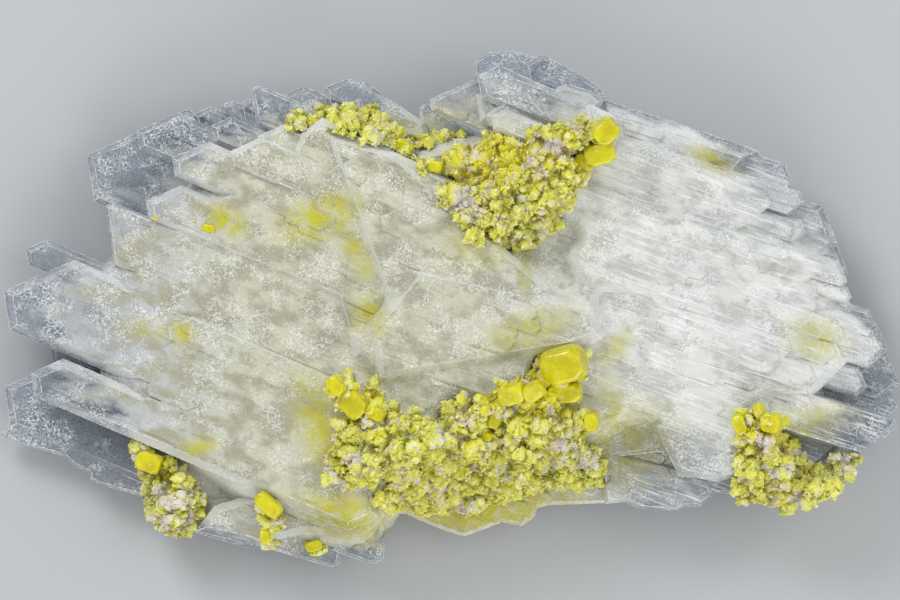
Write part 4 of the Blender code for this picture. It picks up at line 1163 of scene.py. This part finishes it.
# %% The crust's finish
RICH_ZONES = (  # where the crust is least dusty: middle X, Y, half axes, turn in degrees
    (-19, -18, 8, 5, -40), (17, -16, 14, 6.5, 10), (10, 30, 15, 6, 10), (66, -25, 10, 5, 0),
    (-60, -31, 4, 3, 0),
)
PALE_ZONES = (  # where gypsum dust covers it: middle X, Y, half axes, turn in degrees
    (-56.5, -39, 5.5, 5, -30), (19.5, 30.5, 7, 3, 30), (4, 22, 4, 5, 20), (24, -26, 3, 4.5, -10),
    (62.5, -26.5, 2, 2.5, 0),
)
crust_finish, tree = new_material("sulphur_crust")  # native sulphur grown from vapour, as fine as sand
place = add(tree, "TexCoord", out="Object")
top = add(tree, "Attribute", {"attribute_name": "top"}, out="Fac")
tone = add(tree, "Attribute", {"attribute_name": "tone"}, out="Fac")
turned = turned_places(tree, place, RICH_ZONES + PALE_ZONES)
near = nearest(tree, turned, RICH_ZONES)
patches = add(tree, "TexNoise", None, place, every(5.0), 2.0, 0.6)
drift = add(tree, "MapRange", None, patches, 0.3, 0.7, -0.55, 0.55)
rich = add(tree, "MapRange", EASE, add(tree, "Math", PLUS, near, drift), 0.5, 1.3, 1.0, 0.0)
# Pale yellow on the lumps' tops and a darker, deeper yellow in their creases: painted light and painted
# shade, set by each place's level within the lumps.
pale = add(tree, "Mix", COLOURS, rich, srgb("#e3e266"), srgb("#e3dc22"))
deep = add(tree, "Mix", COLOURS, rich, srgb("#94900a"), srgb("#b0a400"))
yellow = add(tree, "Mix", COLOURS, add(tree, "MapRange", EASE, top, 0.22, 0.70, 0.0, 1.0), deep, pale)
powdery = add(tree, "MapRange", EASE, tone, 0.45, 0.95, 0.0, 0.65)
glossy = add(tree, "MapRange", EASE, tone, 0.25, 0.0, 0.0, 0.8)
powder = add(tree, "Math", PLUS, add(tree, "TexNoise", None, place, every(4.2), 3.0, 0.6),
             add(tree, "MapRange", None, tone, 0.0, 1.0, -0.09, 0.09))
for row in PALE_ZONES:
    more = add(tree, "MapRange", EASE, reach(tree, turned, *row), 0.4, 1.3, 0.11, 0.0)
    powder = add(tree, "Math", PLUS, powder, more)
dusty = add(tree, "MapRange", EASE, powder, 0.55, 0.63, 0.0, 0.9)
# Dark olive in the bottom of the creases: painted shade.
crease_shade = add(tree, "MapRange", EASE, top, 0.05, 0.38, 0.9, 0.0)
for mask, colour in ((powdery, "#f3f2b4"), (glossy, "#d8d006"), (dusty, "#ddd5d2"), (crease_shade, "#504d04")):
    yellow = add(tree, "Mix", COLOURS, mask, yellow, srgb(colour))
grit = add(tree, "TexNoise", None, place, every(0.3), 1.0, 0.6)
relief = add(tree, "Bump", None, Height=grit, Strength=0.5, Distance=0.10 * MM)
body = add(tree, "BsdfPrincipled", None, Base_Color=yellow, IOR=1.9, Normal=relief, Specular_IOR_Level=0.3,
           Roughness=add(tree, "MapRange", None, tone, 0.0, 1.0, 0.75, 0.30))
add(tree, "OutputMaterial", None, body)
for piece in skins + grains:
    piece.data.materials.append(crust_finish)
print("crust:", len(tree.nodes), "nodes")

# %% The crystals' finish
# Sulphur bends light strongly, and a skin of fine etching takes the mirror off it: the eye sees wax.
crystal_finish, tree = new_material("sulphur_crystal")
place = add(tree, "TexCoord", out="Object")
veils = add(tree, "TexNoise", None, place, every(3.0), 2.0, 0.5)
veiled = add(tree, "MapRange", EASE, veils, 0.35, 0.65, 0.0, 1.0)
waxy = add(tree, "Mix", COLOURS, veiled, srgb("#c8be00"), srgb("#dcd60a"))
pits = add(tree, "TexNoise", None, place, every(0.9), 4.0, 0.7)
etched = add(tree, "MapRange", EASE, pits, 0.58, 0.70, 0.0, 0.6)
waxy = add(tree, "Mix", COLOURS, etched, waxy, srgb("#efecb0"))
waves = add(tree, "TexNoise", None, place, every(1.4), 4.0, 0.55)
relief = add(tree, "Bump", None, Height=waves, Strength=0.35, Distance=0.2 * MM)
body = add(tree, "BsdfPrincipled", None, Base_Color=waxy, IOR=1.6, Normal=relief, Subsurface_Weight=0.6,
           Roughness=add(tree, "MapRange", None, etched, 0.0, 0.6, 0.14, 0.5),
           Subsurface_Radius=(1.0, 0.9, 0.12), Subsurface_Scale=1.6 * MM)
add(tree, "OutputMaterial", None, body)
for piece in large:
    piece.data.materials.append(crystal_finish)
print("crystals:", len(tree.nodes), "nodes")

# %% [markdown]
# ## The size
#
# The crusts, larger crystals and edge rods above are clipped to the plain model's boxes, and the grains'
# middles are kept inside them. The dressed specimen has to stay inside the plain model's box.

# %% Print the plain model's box
print("plain model", [round(v / MM, 2) for v in (*cad_low, *cad_high)], "mm")
